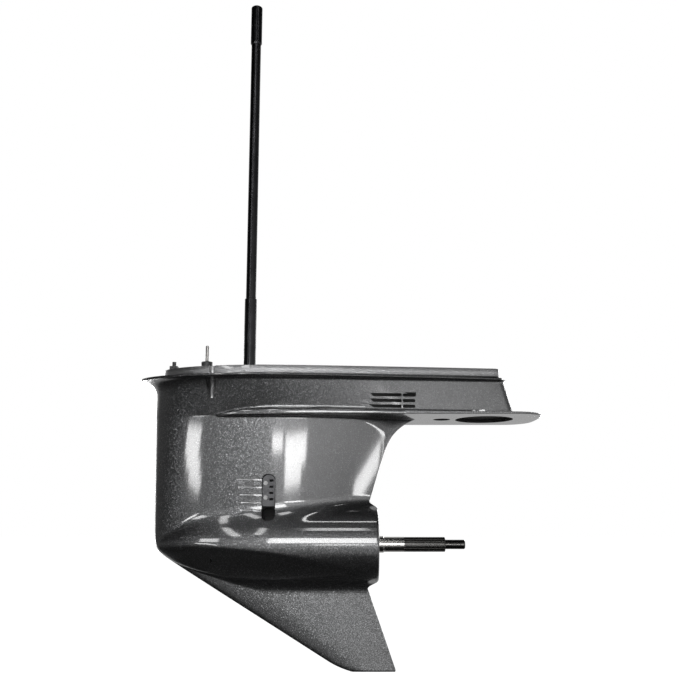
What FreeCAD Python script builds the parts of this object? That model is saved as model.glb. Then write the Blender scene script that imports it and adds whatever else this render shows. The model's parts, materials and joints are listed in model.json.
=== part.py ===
import FreeCAD, Part
import math
import os
import Sketcher
from types import SimpleNamespace

# Outboard lower unit, in millimetres.
# The origin is where the drive shaft's axis crosses the deck face that bolts up under the leg.
# +X points aft, along the propeller shaft, +Y to starboard and +Z up.
# Lengthwise pieces are drawn round the propeller axis, upright ones round the drive shaft's axis.

Vector = FreeCAD.Vector
ALONG_X = FreeCAD.Rotation(Vector(0, 1, 0), 90)
ALONG_Y = FreeCAD.Rotation(Vector(1, 0, 0), -90)
UPRIGHT = FreeCAD.Rotation()

DRIVING = (
    # Name in the sheet, value, what it measures
    ("propeller_drop", 304, "deck face down to the propeller axis"),
    ("running_gap", 0.08, "radial clearance of a turning or sliding fit"),
    ("seat_gap", 0.05, "radial clearance of a fixed fit"),
    # Casing, outside
    ("torpedo_radius", 65, "radius of the torpedo"),
    ("torpedo_aft", 229, "rear face of the torpedo"),
    ("torpedo_full", 85, "where the nose reaches its full radius"),
    ("nose_reach", 158, "drive shaft axis forward to the tip of the nose"),
    ("nose_fullness", 0.6, "exponent of the nose curve"),
    ("plate_rise", 217, "propeller axis up to the underside of the plate"),
    ("plate_thick", 7, "thickness of the anti-ventilation plate"),
    ("plate_half", 85, "half width of the plate"),
    ("plate_aft", 515, "rear edge of the plate"),
    ("plate_corner", 48, "corner radius of the plate's rear edge"),
    ("fin_start", 56, "drive shaft axis forward to the side fin's nose"),
    ("strut_widest", 35, "where the strut is thickest"),
    ("strut_half_low", 40, "half thickness of the strut at the propeller axis"),
    ("strut_half_high", 60, "half thickness of the strut at the plate"),
    ("strut_lean", 5.4, "how far the leading edge leans forward up to the plate"),
    ("strut_tail_low", 205, "trailing edge at the propeller axis"),
    ("strut_tail_rake", 46, "how far the trailing edge rakes aft"),
    ("strut_tail_flare", 50, "how far its root flares into the plate"),
    ("strut_tail_half", 2.5, "half thickness of the trailing edge"),
    ("body_step", 1, "how far the upper body stands proud of the strut"),
    ("plate_lap", 3, "how far the strut runs up into the plate"),
    ("body_half", 75, "half width of the upper body under the lip"),
    ("body_tail_low", 470, "rear end of the upper body on the plate"),
    ("body_tail_high", 451, "rear end of the upper body under the lip"),
    ("body_tail_half", 33, "half width of the upper body's rear end"),
    ("body_flare", 18, "how far the front flares into the lip"),
    ("lip_drop", 21, "deck face down to the underside of the lip"),
    ("lip_thick", 4.5, "thickness of the lip"),
    ("lip_half", 90, "half width of the lip"),
    ("lip_nose", 194, "drive shaft axis forward to the tip of the lip"),
    ("lip_tail", 453, "rear end of the lip"),
    ("rim_half", 72, "half width of the deck face"),
    ("rim_nose", 152, "drive shaft axis forward to the front of the deck face"),
    ("rim_tail", 446, "rear end of the deck face"),
    ("skeg_depth", 209.4, "propeller axis down to the foot of the skeg"),
    ("skeg_bend", 189.5, "propeller axis down to the bend of its front edge"),
    ("skeg_foot_front", 183.5, "front of the skeg's foot"),
    ("skeg_bend_front", 138, "front edge at the bend"),
    ("skeg_slope", 1.649, "run of the front edge for one of drop"),
    ("skeg_foot_aft", 258, "rear of the skeg's foot"),
    ("skeg_tail_slope", 0.3485, "run of the rear edge for one of drop"),
    ("skeg_half", 9, "half thickness of the skeg at its root"),
    ("skeg_foot_half", 3, "half thickness of the skeg at its foot"),
    # Casing, openings
    ("well_radius", 56, "radius of the pump well"),
    ("well_depth", 62, "depth of the pump well"),
    ("exhaust_front", 74, "front of the exhaust chamber in the deck"),
    ("exhaust_aft", 316, "rear of the exhaust chamber"),
    ("exhaust_half_front", 42, "half width of its front"),
    ("exhaust_half_aft", 30, "half width of its rear"),
    ("exhaust_depth", 74, "depth of the exhaust chamber"),
    ("duct_front", 102, "front of the exhaust duct in the strut"),
    ("duct_aft", 160, "rear of the duct"),
    ("duct_half_front", 20, "half width of its front"),
    ("duct_half_aft", 9, "half width of its rear"),
    ("bolt_hole", 5.5, "radius of a leg bolt's hole"),
    ("bolt_front", 58, "drive shaft axis forward to the first pair of bolts"),
    ("bolt_middle", 75, "second pair of bolts"),
    ("bolt_rear", 203.5, "third pair of bolts"),
    ("bolt_half", 62, "half spacing of the first two pairs"),
    ("bolt_half_rear", 48, "half spacing of the third pair"),
    ("scallop_radius", 10, "radius of the pocket under a bolt"),
    ("scallop_front", 36, "depth of the first pair's pockets below the lip"),
    ("scallop_middle", 29, "depth of the second pair's pockets"),
    ("scallop_rear", 20, "depth of the third pair's pockets"),
    ("access_x", 344.5, "centre bolt's access hole"),
    ("access_radius", 15, "radius of the access hole"),
    ("access_roof", 30, "deck face down to the roof of the access hole"),
    ("tab_x", 420, "centre of the trim tab seat"),
    ("tab_radius", 51, "radius of the trim tab seat"),
    ("tab_deep", 6.5, "depth of the trim tab seat"),
    ("tab_boss", 3.5, "height of the boss above the plate over that seat"),
    ("tab_wall", 6, "wall round the trim tab seat"),
    ("slot_front", 213, "front of the side slots"),
    ("slot_aft", 294, "rear of the side slots"),
    ("slot_high", 5.5, "height of a side slot"),
    ("slot_pitch", 9.6, "spacing of the side slots"),
    ("slot_rise", 27, "plate's underside up to the middle slot"),
    ("slot_floor", 41, "centreline out to the floor of the slots"),
    # Water inlet
    ("inlet_x", 41.5, "centre of the inlet pocket"),
    ("inlet_half", 11.5, "half width of the inlet pocket"),
    ("inlet_low", 39, "propeller axis up to the foot of the inlet pocket"),
    ("inlet_high", 118, "propeller axis up to its head"),
    ("inlet_floor", 36, "centreline out to the pocket's floor"),
    ("cover_low", 64, "propeller axis up to the foot of the inlet cover"),
    ("cover_thick", 8, "thickness of the inlet cover"),
    ("cover_gap", 1, "gap round the inlet cover"),
    ("scoop_front", 9, "drive shaft axis forward to the scoops' front"),
    ("scoop_high", 3.2, "height of a scoop"),
    ("scoop_pitch", 13, "spacing of the scoops"),
    ("scoop_low", 57, "propeller axis up to the lowest scoop"),
    ("scoop_slope", 9, "degrees by which a scoop runs inwards"),
    ("screw_radius", 2, "radius of an inlet cover screw"),
    ("screw_head", 3.6, "radius of its head"),
    ("screw_high", 2, "height of its head"),
    ("screw_thread", 7, "length of its thread in the casing"),
    ("screw_aside", 5, "inlet pocket's centre forward to the screws"),
    # Gears
    ("tooth_module", 3.1, "module at the large end"),
    ("face_width", 16, "length of a tooth"),
    ("tooth_thinning", 0.35, "how much thinner than half the pitch a tooth is"),
    ("gear_bore", 16, "bore of both driven gears"),
    ("gear_hub", 22, "radius of their bearing seats"),
    ("gear_shoulder", 34, "pinion axis out to the bearing's shoulder"),
    ("gear_shoulder_radius", 27, "radius of that shoulder"),
    ("gear_hub_end", 55, "pinion axis out to the end of the hub"),
    ("gear_back", 31, "pinion axis out to the back of the gear's rim"),
    ("jaw_face", 17, "pinion axis out to the foot of a gear's jaws"),
    ("jaw_high", 5, "height of a gear's jaws"),
    ("jaw_outer", 21, "outer radius of the jaws and of the clutch"),
    ("jaw_degrees", 35, "angle that one jaw takes up"),
    ("clutch_half", 7, "half width of the clutch's ring"),
    ("clutch_jaw", 4, "height of the clutch's jaws"),
    ("clutch_jaw_inner", 15.5, "inner radius of its jaws"),
    ("shift_travel", 4.5, "travel of the clutch from neutral each way"),
    ("spring_deep", 2, "depth of the clutch's spring groove"),
    ("spring_half", 2, "half width of the clutch's spring"),
    # Propeller shaft
    ("shaft_front", 57, "pinion axis forward to the shaft's front end"),
    ("shaft_nose", 13, "radius of the shaft in the forward gear"),
    ("shaft_spline", 15, "outer radius of the clutch splines"),
    ("shaft_spline_root", 13.4, "root radius of the clutch splines"),
    ("shaft_spline_half", 16, "half length of the clutch splines"),
    ("shaft_collar", 20, "radius of the thrust collar"),
    ("collar_thick", 5, "thickness of the thrust collar"),
    ("shaft_journal", 14, "radius of the shaft in its rear bearing and seals"),
    ("journal_start", 140, "where the journal starts"),
    ("journal_end", 238, "where the journal ends"),
    ("land_radius", 12.8, "radius of the propeller's land"),
    ("land_end", 274, "where the land ends"),
    ("spline_radius", 12.5, "outer radius of the propeller splines"),
    ("spline_root", 10.9, "root radius of the propeller splines"),
    ("spline_end", 345, "where the propeller splines end"),
    ("thread_radius", 8, "radius of the propeller nut's thread"),
    ("thread_end", 379.6, "aft end of the propeller shaft"),
    ("link_radius", 4.5, "radius of the shift link in the shaft"),
    ("link_front", 89, "pinion axis forward to the link's front end"),
    ("link_aft", 9, "pinion axis aft to the link's rear end"),
    ("link_bore_end", 20, "end of the link's bore in the shaft"),
    ("cross_pin_radius", 2.5, "radius of the clutch's cross pin"),
    ("cross_pin_slack", 0.2, "clearance of the cross pin in its slot"),
    # Shift
    ("shift_x", 77, "drive shaft axis forward to the shift rod"),
    ("crank_throw", 9, "shift rod's axis out to the crank pin"),
    ("crank_pin", 3, "radius of the crank pin"),
    ("crank_radius", 13, "radius of the crank"),
    ("crank_thick", 6, "thickness of the crank"),
    ("crank_rise", 13.5, "propeller axis up to the crank's underside"),
    ("spool_radius", 12, "radius of the spool's flanges"),
    ("spool_flange", 4, "thickness of a spool flange"),
    ("spool_slack", 0.15, "clearance of the crank pin in the spool"),
    ("spool_bore", 14, "radius of the spool's chamber"),
    ("spool_bore_front", 101, "front end of the spool's chamber"),
    ("rod_radius", 4.5, "radius of the shift rod"),
    ("rod_tip_radius", 3, "radius of its upper end"),
    ("rod_top", 47, "deck face up to the top of the shift rod"),
    ("guide_radius", 6.5, "radius of the rod guide's stem"),
    ("guide_depth", 28, "length of that stem"),
    ("guide_flange", 16, "radius of the rod guide's flange"),
    ("guide_flange_thick", 4, "thickness of that flange"),
    ("guide_hub", 10, "radius of the rod guide's hub"),
    ("guide_top", 17, "deck face up to the top of the hub"),
    ("guide_sink", 1.5, "depth of the flange's seat in the deck"),
    # Drive shaft
    ("drive_top", 727, "deck face up to the top of the drive shaft"),
    ("drive_spline_radius", 10.8, "radius of its top splines"),
    ("drive_spline_root", 9.6, "root radius of its top splines"),
    ("drive_spline_end", 649, "deck face up to the foot of its top splines"),
    ("drive_slim", 9.2, "radius of its slim length"),
    ("drive_step", 134, "deck face up to the step"),
    ("drive_radius", 11, "radius through the pump and seals"),
    ("drive_seat", 15, "radius at its bearings"),
    ("drive_shoulder", 18, "radius of the bearing's shoulder"),
    ("drive_waist", 12, "radius between its bearings"),
    ("pinion_bore", 11, "radius of the pinion's bore"),
    ("pinion_top", 58, "propeller axis up to the pinion's upper face"),
    ("pinion_hub", 19, "radius of the pinion's hub"),
    ("nut_foot", 24, "propeller axis up to the pinion nut's foot"),
    ("nut_head", 33, "propeller axis up to the pinion nut's head"),
    ("nut_radius", 9.5, "radius of the pinion nut's corners"),
    ("stud_radius", 6.5, "radius of the drive shaft's threaded end"),
    ("pinion_room", 27, "radius of the pinion's chamber"),
    ("needle_radius", 1.6, "radius of a needle"),
    ("needle_race", 20, "outer radius of the pinion's needle bearing"),
    ("needle_low", 62, "propeller axis up to the foot of that bearing"),
    ("needle_long", 26, "length of that bearing"),
    ("upper_bearing_top", 75, "deck face down to the top of the upper bearing"),
    ("upper_bearing_long", 24, "length of the upper bearing"),
    ("upper_bearing_outer", 34, "outer radius of the upper bearing"),
    ("shim_thick", 0.5, "thickness of a bearing shim"),
    # Forward and reverse bearings, bearing carrier
    ("forward_cup_outer", 42, "outer radius of the forward bearing"),
    ("forward_cup_long", 22, "length of the forward bearing"),
    ("gear_room", 48, "radius of the gear chamber"),
    ("carrier_front", 34, "front of the bearing carrier"),
    ("carrier_radius", 50, "radius of the carrier's front barrel"),
    ("carrier_barrel_end", 94, "rear end of the front barrel"),
    ("ball_outer", 40, "outer radius of the reverse gear's bearing"),
    ("ball_long", 17, "length of the reverse gear's bearing"),
    ("ball_radius", 5, "radius of its balls"),
    ("carrier_neck", 28, "radius of the carrier's neck"),
    ("carrier_bore", 22, "bore of the carrier's neck"),
    ("carrier_aft", 212, "rear end of the carrier"),
    ("carrier_ring", 56, "outer radius of the carrier's rear ring"),
    ("carrier_ring_inner", 49, "inner radius of that ring"),
    ("carrier_ring_front", 200, "front of that ring"),
    ("carrier_rib", 4, "half thickness of the carrier's ribs"),
    ("exhaust_bore", 54, "radius of the torpedo's exhaust chamber"),
    ("tab_washer_thick", 1.5, "thickness of the tab washer"),
    ("ring_nut_radius", 58, "outer radius of the ring nut"),
    ("ring_nut_thick", 9, "thickness of the ring nut"),
    ("rear_needle_front", 150, "front of the shaft's rear bearing"),
    ("rear_needle_long", 25, "length of the shaft's rear bearing"),
    ("seal_thick", 8, "thickness of a shaft seal"),
    ("ring_cord", 2, "radius of an o-ring's section"),
    # Water pump
    ("seal_base_thick", 12, "thickness of the seal housing's plate"),
    ("seal_base_radius", 52, "radius of the seal housing's plate"),
    ("drive_seal_outer", 19, "outer radius of a drive shaft seal"),
    ("drive_seal_thick", 7, "thickness of a drive shaft seal"),
    ("gasket_thick", 0.5, "thickness of a gasket"),
    ("wear_plate_thick", 1, "thickness of the pump's wear plate"),
    ("pump_flange", 50, "radius of the pump's flange"),
    ("pump_flange_thick", 5, "thickness of the pump's flange"),
    ("pump_radius", 40, "radius of the pump's dome"),
    ("pump_high", 36, "height of the pump"),
    ("cup_outer", 36, "outer radius of the pump's cup"),
    ("cup_inner", 32, "inner radius of the pump's cup"),
    ("cup_offset", 2, "how far the cup's bore stands off the shaft"),
    ("cup_high", 22, "height of the cup's bore"),
    ("cup_roof", 2, "thickness of the cup's roof"),
    ("impeller_high", 20, "height of the impeller"),
    ("impeller_hub", 15, "radius of the impeller's hub"),
    ("impeller_reach", 29.5, "radius of the impeller's blades"),
    ("impeller_blade", 3, "thickness of a blade"),
    ("key_half", 2.5, "half width of the impeller's key"),
    ("outlet_x", 25, "shaft's axis aft to the pump's outlet"),
    ("outlet_radius", 10, "outer radius of the outlet"),
    ("outlet_bore", 6.5, "bore of the outlet"),
    ("outlet_rise", 5, "height of the outlet above the pump"),
    ("grommet_wall", 3, "wall of the water tube's grommet"),
    ("grommet_high", 12, "height of the grommet"),
    ("pump_bolt_circle", 45, "radius of the pump's bolt circle"),
    ("pump_bolt_radius", 3, "radius of a pump bolt"),
    ("pump_bolt_head", 4.8, "radius of its head's corners"),
    ("pump_bolt_head_high", 4, "height of its head"),
    ("pump_bolt_depth", 12, "length of thread in the casing"),
    ("water_x", 47, "drive shaft axis aft to the water passage"),
    ("water_radius", 4.5, "radius of the water passage"),
    ("water_cross", 5.2, "radius of the bore across that feeds it"),
    # Small fittings
    ("plug_radius", 5, "radius of an oil plug's thread"),
    ("plug_head", 8, "radius of an oil plug's head"),
    ("plug_head_thick", 4, "thickness of that head"),
    ("plug_gasket_thick", 1, "thickness of an oil plug's gasket"),
    ("drain_x", 20, "drive shaft axis forward to the drain plug"),
    ("drain_seat", 54, "centreline out to the drain plug's seat"),
    ("level_rise", 150, "propeller axis up to the level plug"),
    ("level_seat", 45, "centreline out to the level plug's seat"),
    ("dowel_radius", 4, "radius of a deck dowel"),
    ("dowel_up", 6, "height of a dowel above the deck"),
    ("dowel_down", 14, "depth of a dowel in the deck"),
    ("dowel_front", 118, "drive shaft axis forward to the front dowel"),
    ("dowel_aft", 380, "rear dowel"),
    ("pitot_x", 136, "drive shaft axis forward to the pick-up fitting"),
    ("pitot_half", 7, "half width of the pick-up fitting's foot"),
    ("pitot_high", 9, "deck face up to the top of its foot"),
    ("pitot_sink", 1.5, "depth of the foot's seat in the deck"),
)

doc = FreeCAD.newDocument("outboard_lower_unit")
sheet = doc.addObject("Spreadsheet::Sheet", "Sizes")


class Size:
    """A number that also carries the sheet's expression for it."""

    def __init__(self, value, text):
        self.value = value
        self.text = text

    def join(self, other, sign, value):
        return Size(value, f"({self.text} {sign} {other.text})")

    def __add__(self, other):
        other = sized(other)
        return self.join(other, "+", self.value + other.value)

    def __sub__(self, other):
        other = sized(other)
        return self.join(other, "-", self.value - other.value)

    def __mul__(self, other):
        other = sized(other)
        return self.join(other, "*", self.value * other.value)

    def __truediv__(self, other):
        other = sized(other)
        return self.join(other, "/", self.value / other.value)

    def __neg__(self):
        return sized(0) - self

    def __radd__(self, other):
        return sized(other) + self

    def __rsub__(self, other):
        return sized(other) - self

    def __rmul__(self, other):
        return sized(other) * self


def sized(number):
    """A plain number as a Size."""
    if isinstance(number, Size):
        return number
    return Size(float(number), f"{number:.9f}")


S = SimpleNamespace()
for row, (name, value, meaning) in enumerate(DRIVING, start=1):
    sheet.set(f"A{row}", meaning)
    sheet.set(f"B{row}", str(value))
    sheet.setAlias(f"B{row}", name)
    setattr(S, name, Size(float(value), f"Sizes.{name}"))
doc.recompute()

GEAR_TEETH = 28
PINION_TEETH = 14
CLUTCH_SPLINES = 12
PROPELLER_SPLINES = 15
DRIVE_SPLINES = 14
IMPELLER_BLADES = 6

ZERO = sized(0)
AXIS_Z = -S.propeller_drop
pieces = {}


# Helpers for bound objects

def bind(thing, **places):
    """Ties an object's properties to the sheet."""
    for key, size in places.items():
        thing.setExpression(key.replace("_at_", "."), sized(size).text)


def place(thing, at=(ZERO, ZERO, ZERO), turn=UPRIGHT):
    """Puts an object at a bound point with a fixed turn."""
    thing.Placement = FreeCAD.Placement(Vector(), turn)
    for letter, size in zip("xyz", at):
        thing.setExpression(f"Placement.Base.{letter}", sized(size).text)


def keep(label, thing):
    """Names a finished sub-part."""
    thing.Label = label
    pieces[label] = thing
    return thing


def origin(body, role):
    """One of a body's own planes or axes."""
    return [item for item in body.Origin.OriginFeatures if item.Role == role][0]


def sketch_on(body, name, role, rise=None):
    """A sketch on one of a body's planes, lifted by a bound amount."""
    sketch = body.newObject("Sketcher::SketchObject", name)
    sketch.AttachmentSupport = [(origin(body, role), "")]
    sketch.MapMode = "FlatFace"
    if rise is not None:
        sketch.setExpression("AttachmentOffset.Base.z", sized(rise).text)
    return sketch


def draw_corners(sketch, corners):
    """A closed outline of straight lines, each corner held by two bound distances."""
    first = sketch.GeometryCount
    count = len(corners)
    points = [Vector(sized(a).value, sized(b).value, 0) for a, b in corners]
    for index in range(count):
        line = Part.LineSegment(points[index], points[(index + 1) % count])
        sketch.addGeometry(line, False)
    for index in range(count):
        after = (index + 1) % count
        sketch.addConstraint(Sketcher.Constraint("Coincident", first + index, 2, first + after, 1))
    for index, corner in enumerate(corners):
        for kind, size in zip(("DistanceX", "DistanceY"), corner):
            size = sized(size)
            rule = Sketcher.Constraint(kind, -1, 1, first + index, 1, size.value)
            number = sketch.addConstraint(rule)
            sketch.setExpression(f"Constraints[{number}]", size.text)


def draw_circle(sketch, radius, centre):
    """A circle with a bound radius and centre."""
    radius = sized(radius)
    x, y = sized(centre[0]), sized(centre[1])
    circle = Part.Circle(Vector(x.value, y.value, 0), Vector(0, 0, 1), radius.value)
    item = sketch.addGeometry(circle, False)
    rules = (
        (Sketcher.Constraint("Radius", item, radius.value), radius),
        (Sketcher.Constraint("DistanceX", -1, 1, item, 3, x.value), x),
        (Sketcher.Constraint("DistanceY", -1, 1, item, 3, y.value), y),
    )
    for rule, size in rules:
        number = sketch.addConstraint(rule)
        sketch.setExpression(f"Constraints[{number}]", size.text)


def turned(label, lie, corners, at=(ZERO, ZERO, ZERO)):
    """A turned body. Corners are (x, radius) when lie is 'along', (radius, z) when 'upright'."""
    body = doc.addObject("PartDesign::Body", label)
    sketch = sketch_on(body, label + "_profile", "XZ_Plane")
    draw_corners(sketch, corners)
    turn = body.newObject("PartDesign::Revolution", label + "_turn")
    turn.Profile = sketch
    turn.ReferenceAxis = (sketch, ["H_Axis" if lie == "along" else "V_Axis"])
    turn.Angle = 360
    body.Tip = turn
    if lie == "along":
        at = (at[0], at[1], at[2] + AXIS_Z)
    place(body, at)
    return keep(label, body)


def ring(label, lie, inner, outer, start, end, at=(ZERO, ZERO, ZERO)):
    """A plain ring between two bound ends."""
    if lie == "along":
        corners = ((start, inner), (start, outer), (end, outer), (end, inner))
    else:
        corners = ((inner, start), (outer, start), (outer, end), (inner, end))
    return turned(label, lie, corners, at)


def pocket(body, name, sketch, deep, count=1, about="Z_Axis"):
    """A pocket behind a sketch's plane, repeated round an axis, checked to remove metal."""
    doc.recompute()
    before = body.Shape.Volume
    cut = body.newObject("PartDesign::Pocket", name)
    cut.Profile = sketch
    cut.setExpression("Length", sized(deep).text)
    body.Tip = cut
    if count > 1:
        pattern = body.newObject("PartDesign::PolarPattern", name + "_round")
        pattern.Originals = [cut]
        pattern.Axis = (origin(body, about), [""])
        pattern.Angle = 360
        pattern.Occurrences = count
        body.Tip = pattern
    doc.recompute()
    if body.Shape.Volume > before - 0.01:
        raise RuntimeError(f"{name} removed nothing")


def drill(body, name, radius, circle, top, deep, count=1):
    """Upright holes on a bolt circle, the first one half a step from +X."""
    step = math.radians(180 / count) if count > 1 else 0.0
    sketch = sketch_on(body, name + "_outline", "XY_Plane", top)
    draw_circle(sketch, radius, (circle * math.cos(step), circle * math.sin(step)))
    pocket(body, name, sketch, deep, count)


def cylinder(name, radius, tall, at, turn=UPRIGHT):
    """A bound cylinder that starts at a point."""
    solid = doc.addObject("Part::Cylinder", name)
    bind(solid, Radius=radius, Height=tall)
    place(solid, at, turn)
    return solid


def block(name, low, high):
    """A bound box between two corners."""
    solid = doc.addObject("Part::Box", name)
    bind(solid, Length=high[0] - low[0], Width=high[1] - low[1], Height=high[2] - low[2])
    place(solid, low)
    return solid


def hexagon(name, corner, tall, at, turn=UPRIGHT):
    """A bound hexagonal prism."""
    solid = doc.addObject("Part::Prism", name)
    solid.Polygon = 6
    bind(solid, Circumradius=corner, Height=tall)
    place(solid, at, turn)
    return solid


def fuse(name, solids):
    """Several overlapping solids as one."""
    joined = doc.addObject("Part::MultiFuse", name)
    joined.Shapes = solids
    return joined


def cut(name, base, tool):
    """One solid less another."""
    rest = doc.addObject("Part::Cut", name)
    rest.Base = base
    rest.Tool = tool
    return rest


def group(label, solids):
    """Separate solids that share a node."""
    together = doc.addObject("Part::Compound", label)
    together.Links = solids
    return keep(label, together)


def shaped(label, shape, at=Vector(), turn=UPRIGHT):
    """A shape made with Part's own functions, from sizes read off the sheet."""
    thing = doc.addObject("Part::Feature", label)
    thing.Shape = shape
    thing.Placement = FreeCAD.Placement(at, turn).multiply(shape.Placement)
    return thing


def round_the_shaft(name, count, radius, circle, start, tall, lie):
    """Needles or pins round an axis, each a bound cylinder."""
    solids = []
    for index in range(count):
        angle = 2 * math.pi * index / count
        across, up = circle * math.cos(angle), circle * math.sin(angle)
        if lie == "along":
            at, turn = (start, across, up + AXIS_Z), ALONG_X
        else:
            at, turn = (across, up, start), UPRIGHT
        solids.append(cylinder(f"{name}_{index + 1}", radius, tall, at, turn))
    return solids


# Casing, outside

def foil(level, nose, widest, half, tail, tail_half, fall):
    """A closed section at one level: an ellipse to the widest place, then a falling curve."""
    fore = []
    for share in (0.02, 0.08, 0.2, 0.4, 0.7, 1.0):
        x = nose + (widest - nose) * share
        fore.append((x, half * math.sqrt(1 - (1 - share) ** 2)))
    aft = []
    for share in (0.25, 0.5, 0.75, 1.0):
        x = widest + (tail - widest) * share
        aft.append((x, half + (tail_half - half) * share ** fall))
    side = fore + aft
    points = [Vector(x, y, level) for x, y in reversed(side)]
    points.append(Vector(nose, 0, level))
    points += [Vector(x, -y, level) for x, y in side]
    curve = Part.BSplineCurve()
    curve.interpolate(points)
    close = Part.LineSegment(points[-1], points[0])
    return Part.Wire([curve.toShape(), close.toShape()])


def strut_section(share):
    """The strut's section at a share of the way from the propeller axis to the plate."""
    level = AXIS_Z.value + S.plate_rise.value * share
    nose = -S.nose_reach.value - S.strut_lean.value * share
    half = S.strut_half_low.value + (S.strut_half_high.value - S.strut_half_low.value) * share ** 1.5
    tail = S.strut_tail_low.value + S.strut_tail_rake.value * share ** 1.4
    tail += S.strut_tail_flare.value * share ** 9
    return foil(level, nose, S.strut_widest.value, half, tail, S.strut_tail_half.value, 1.8)


def body_section(share):
    """The upper body's section at a share of the way from the plate to the lip."""
    step = S.body_step.value
    low = AXIS_Z.value + S.plate_rise.value + S.plate_lap.value / 3
    level = low + (-S.lip_drop.value - low) * share
    nose = -S.nose_reach.value - S.strut_lean.value - step - S.body_flare.value * share ** 6
    foot_half = S.strut_half_high.value + step
    half = foot_half + (S.body_half.value - foot_half) * share ** 1.5
    tail = S.body_tail_low.value + (S.body_tail_high.value - S.body_tail_low.value) * share
    return foil(level, nose, S.strut_widest.value, half, tail, S.body_tail_half.value, 1.2)


def skeg_section(drop):
    """The skeg's section at a depth below the propeller axis."""
    above_bend = S.skeg_bend.value - drop
    if above_bend >= 0:
        nose = S.skeg_bend_front.value - S.skeg_slope.value * above_bend
    else:
        share = -above_bend / (S.skeg_depth.value - S.skeg_bend.value)
        reach = S.skeg_foot_front.value - S.skeg_bend_front.value
        nose = S.skeg_bend_front.value + reach * (0.7 * share + 0.3 * share ** 3)
    tail = S.skeg_foot_aft.value - S.skeg_tail_slope.value * (S.skeg_depth.value - drop)
    half = S.skeg_half.value + (S.skeg_foot_half.value - S.skeg_half.value) * drop / S.skeg_depth.value
    widest = nose + (tail - nose) * 0.4
    return foil(AXIS_Z.value - drop, nose, widest, half, tail, half * 0.4, 1.5)


def flat_foil(name, level, thick, nose, half, tail, tail_half, fall=1.2):
    """A flat sheet with the deck's outline."""
    outline = foil(level, nose, S.strut_widest.value, half, tail, tail_half, fall)
    return shaped(name, Part.Face(outline).extrude(Vector(0, 0, thick)))


def torpedo():
    """The torpedo: a nose curve turned round the propeller axis, and a plain barrel."""
    reach = S.torpedo_full.value + S.nose_reach.value
    points = []
    for share in (0.0, 0.01, 0.04, 0.1, 0.2, 0.35, 0.55, 0.78, 1.0):
        bow = (1 - (1 - share) ** 2) ** S.nose_fullness.value
        points.append(Vector(-S.nose_reach.value + reach * share, 0, S.torpedo_radius.value * bow))
    curve = Part.BSplineCurve()
    curve.interpolate(points)
    round_off = 4
    corner = Vector(S.torpedo_aft.value - round_off, 0, S.torpedo_radius.value)
    face = Vector(S.torpedo_aft.value, 0, S.torpedo_radius.value - round_off)
    middle = Vector(
        S.torpedo_aft.value - round_off * (1 - math.sqrt(0.5)),
        0,
        S.torpedo_radius.value - round_off * (1 - math.sqrt(0.5)),
    )
    centre = Vector(S.torpedo_aft.value, 0, 0)
    edges = [
        curve.toShape(),
        Part.LineSegment(points[-1], corner).toShape(),
        Part.Arc(corner, middle, face).toShape(),
        Part.LineSegment(face, centre).toShape(),
        Part.LineSegment(centre, points[0]).toShape(),
    ]
    profile = Part.Face(Part.Wire(edges))
    return profile.revolve(Vector(), Vector(1, 0, 0), 360)


def plate_outline(level):
    """The anti-ventilation plate with its side fins, seen from above."""
    half, aft, corner = S.plate_half.value, S.plate_aft.value, S.plate_corner.value
    start = -S.fin_start.value
    root = S.strut_half_high.value * 0.87
    run = aft - corner
    fin = []
    for share in (0.0, 0.12, 0.3, 0.6, 1.0):
        y = root + (half - root) * math.sqrt(1 - (1 - share) ** 2)
        fin.append(Vector(start + (S.slot_front.value - start) * share, y, level))
    curve = Part.BSplineCurve()
    curve.interpolate(fin)
    lay = corner * (1 - math.sqrt(0.5))
    rear = (
        Vector(run, half, level),
        Vector(aft - lay, half - lay, level),
        Vector(aft, half - corner, level),
    )
    mirror = [Vector(p.x, -p.y, level) for p in rear]
    other = Part.BSplineCurve()
    other.interpolate([Vector(p.x, -p.y, level) for p in reversed(fin)])
    edges = [
        curve.toShape(),
        Part.LineSegment(fin[-1], rear[0]).toShape(),
        Part.Arc(*rear).toShape(),
        Part.LineSegment(rear[2], mirror[2]).toShape(),
        Part.Arc(*reversed(mirror)).toShape(),
        Part.LineSegment(mirror[0], Vector(fin[-1].x, -fin[-1].y, level)).toShape(),
        other.toShape(),
        Part.LineSegment(Vector(start, -root, level), fin[0]).toShape(),
    ]
    return Part.Wire(edges)


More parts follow.
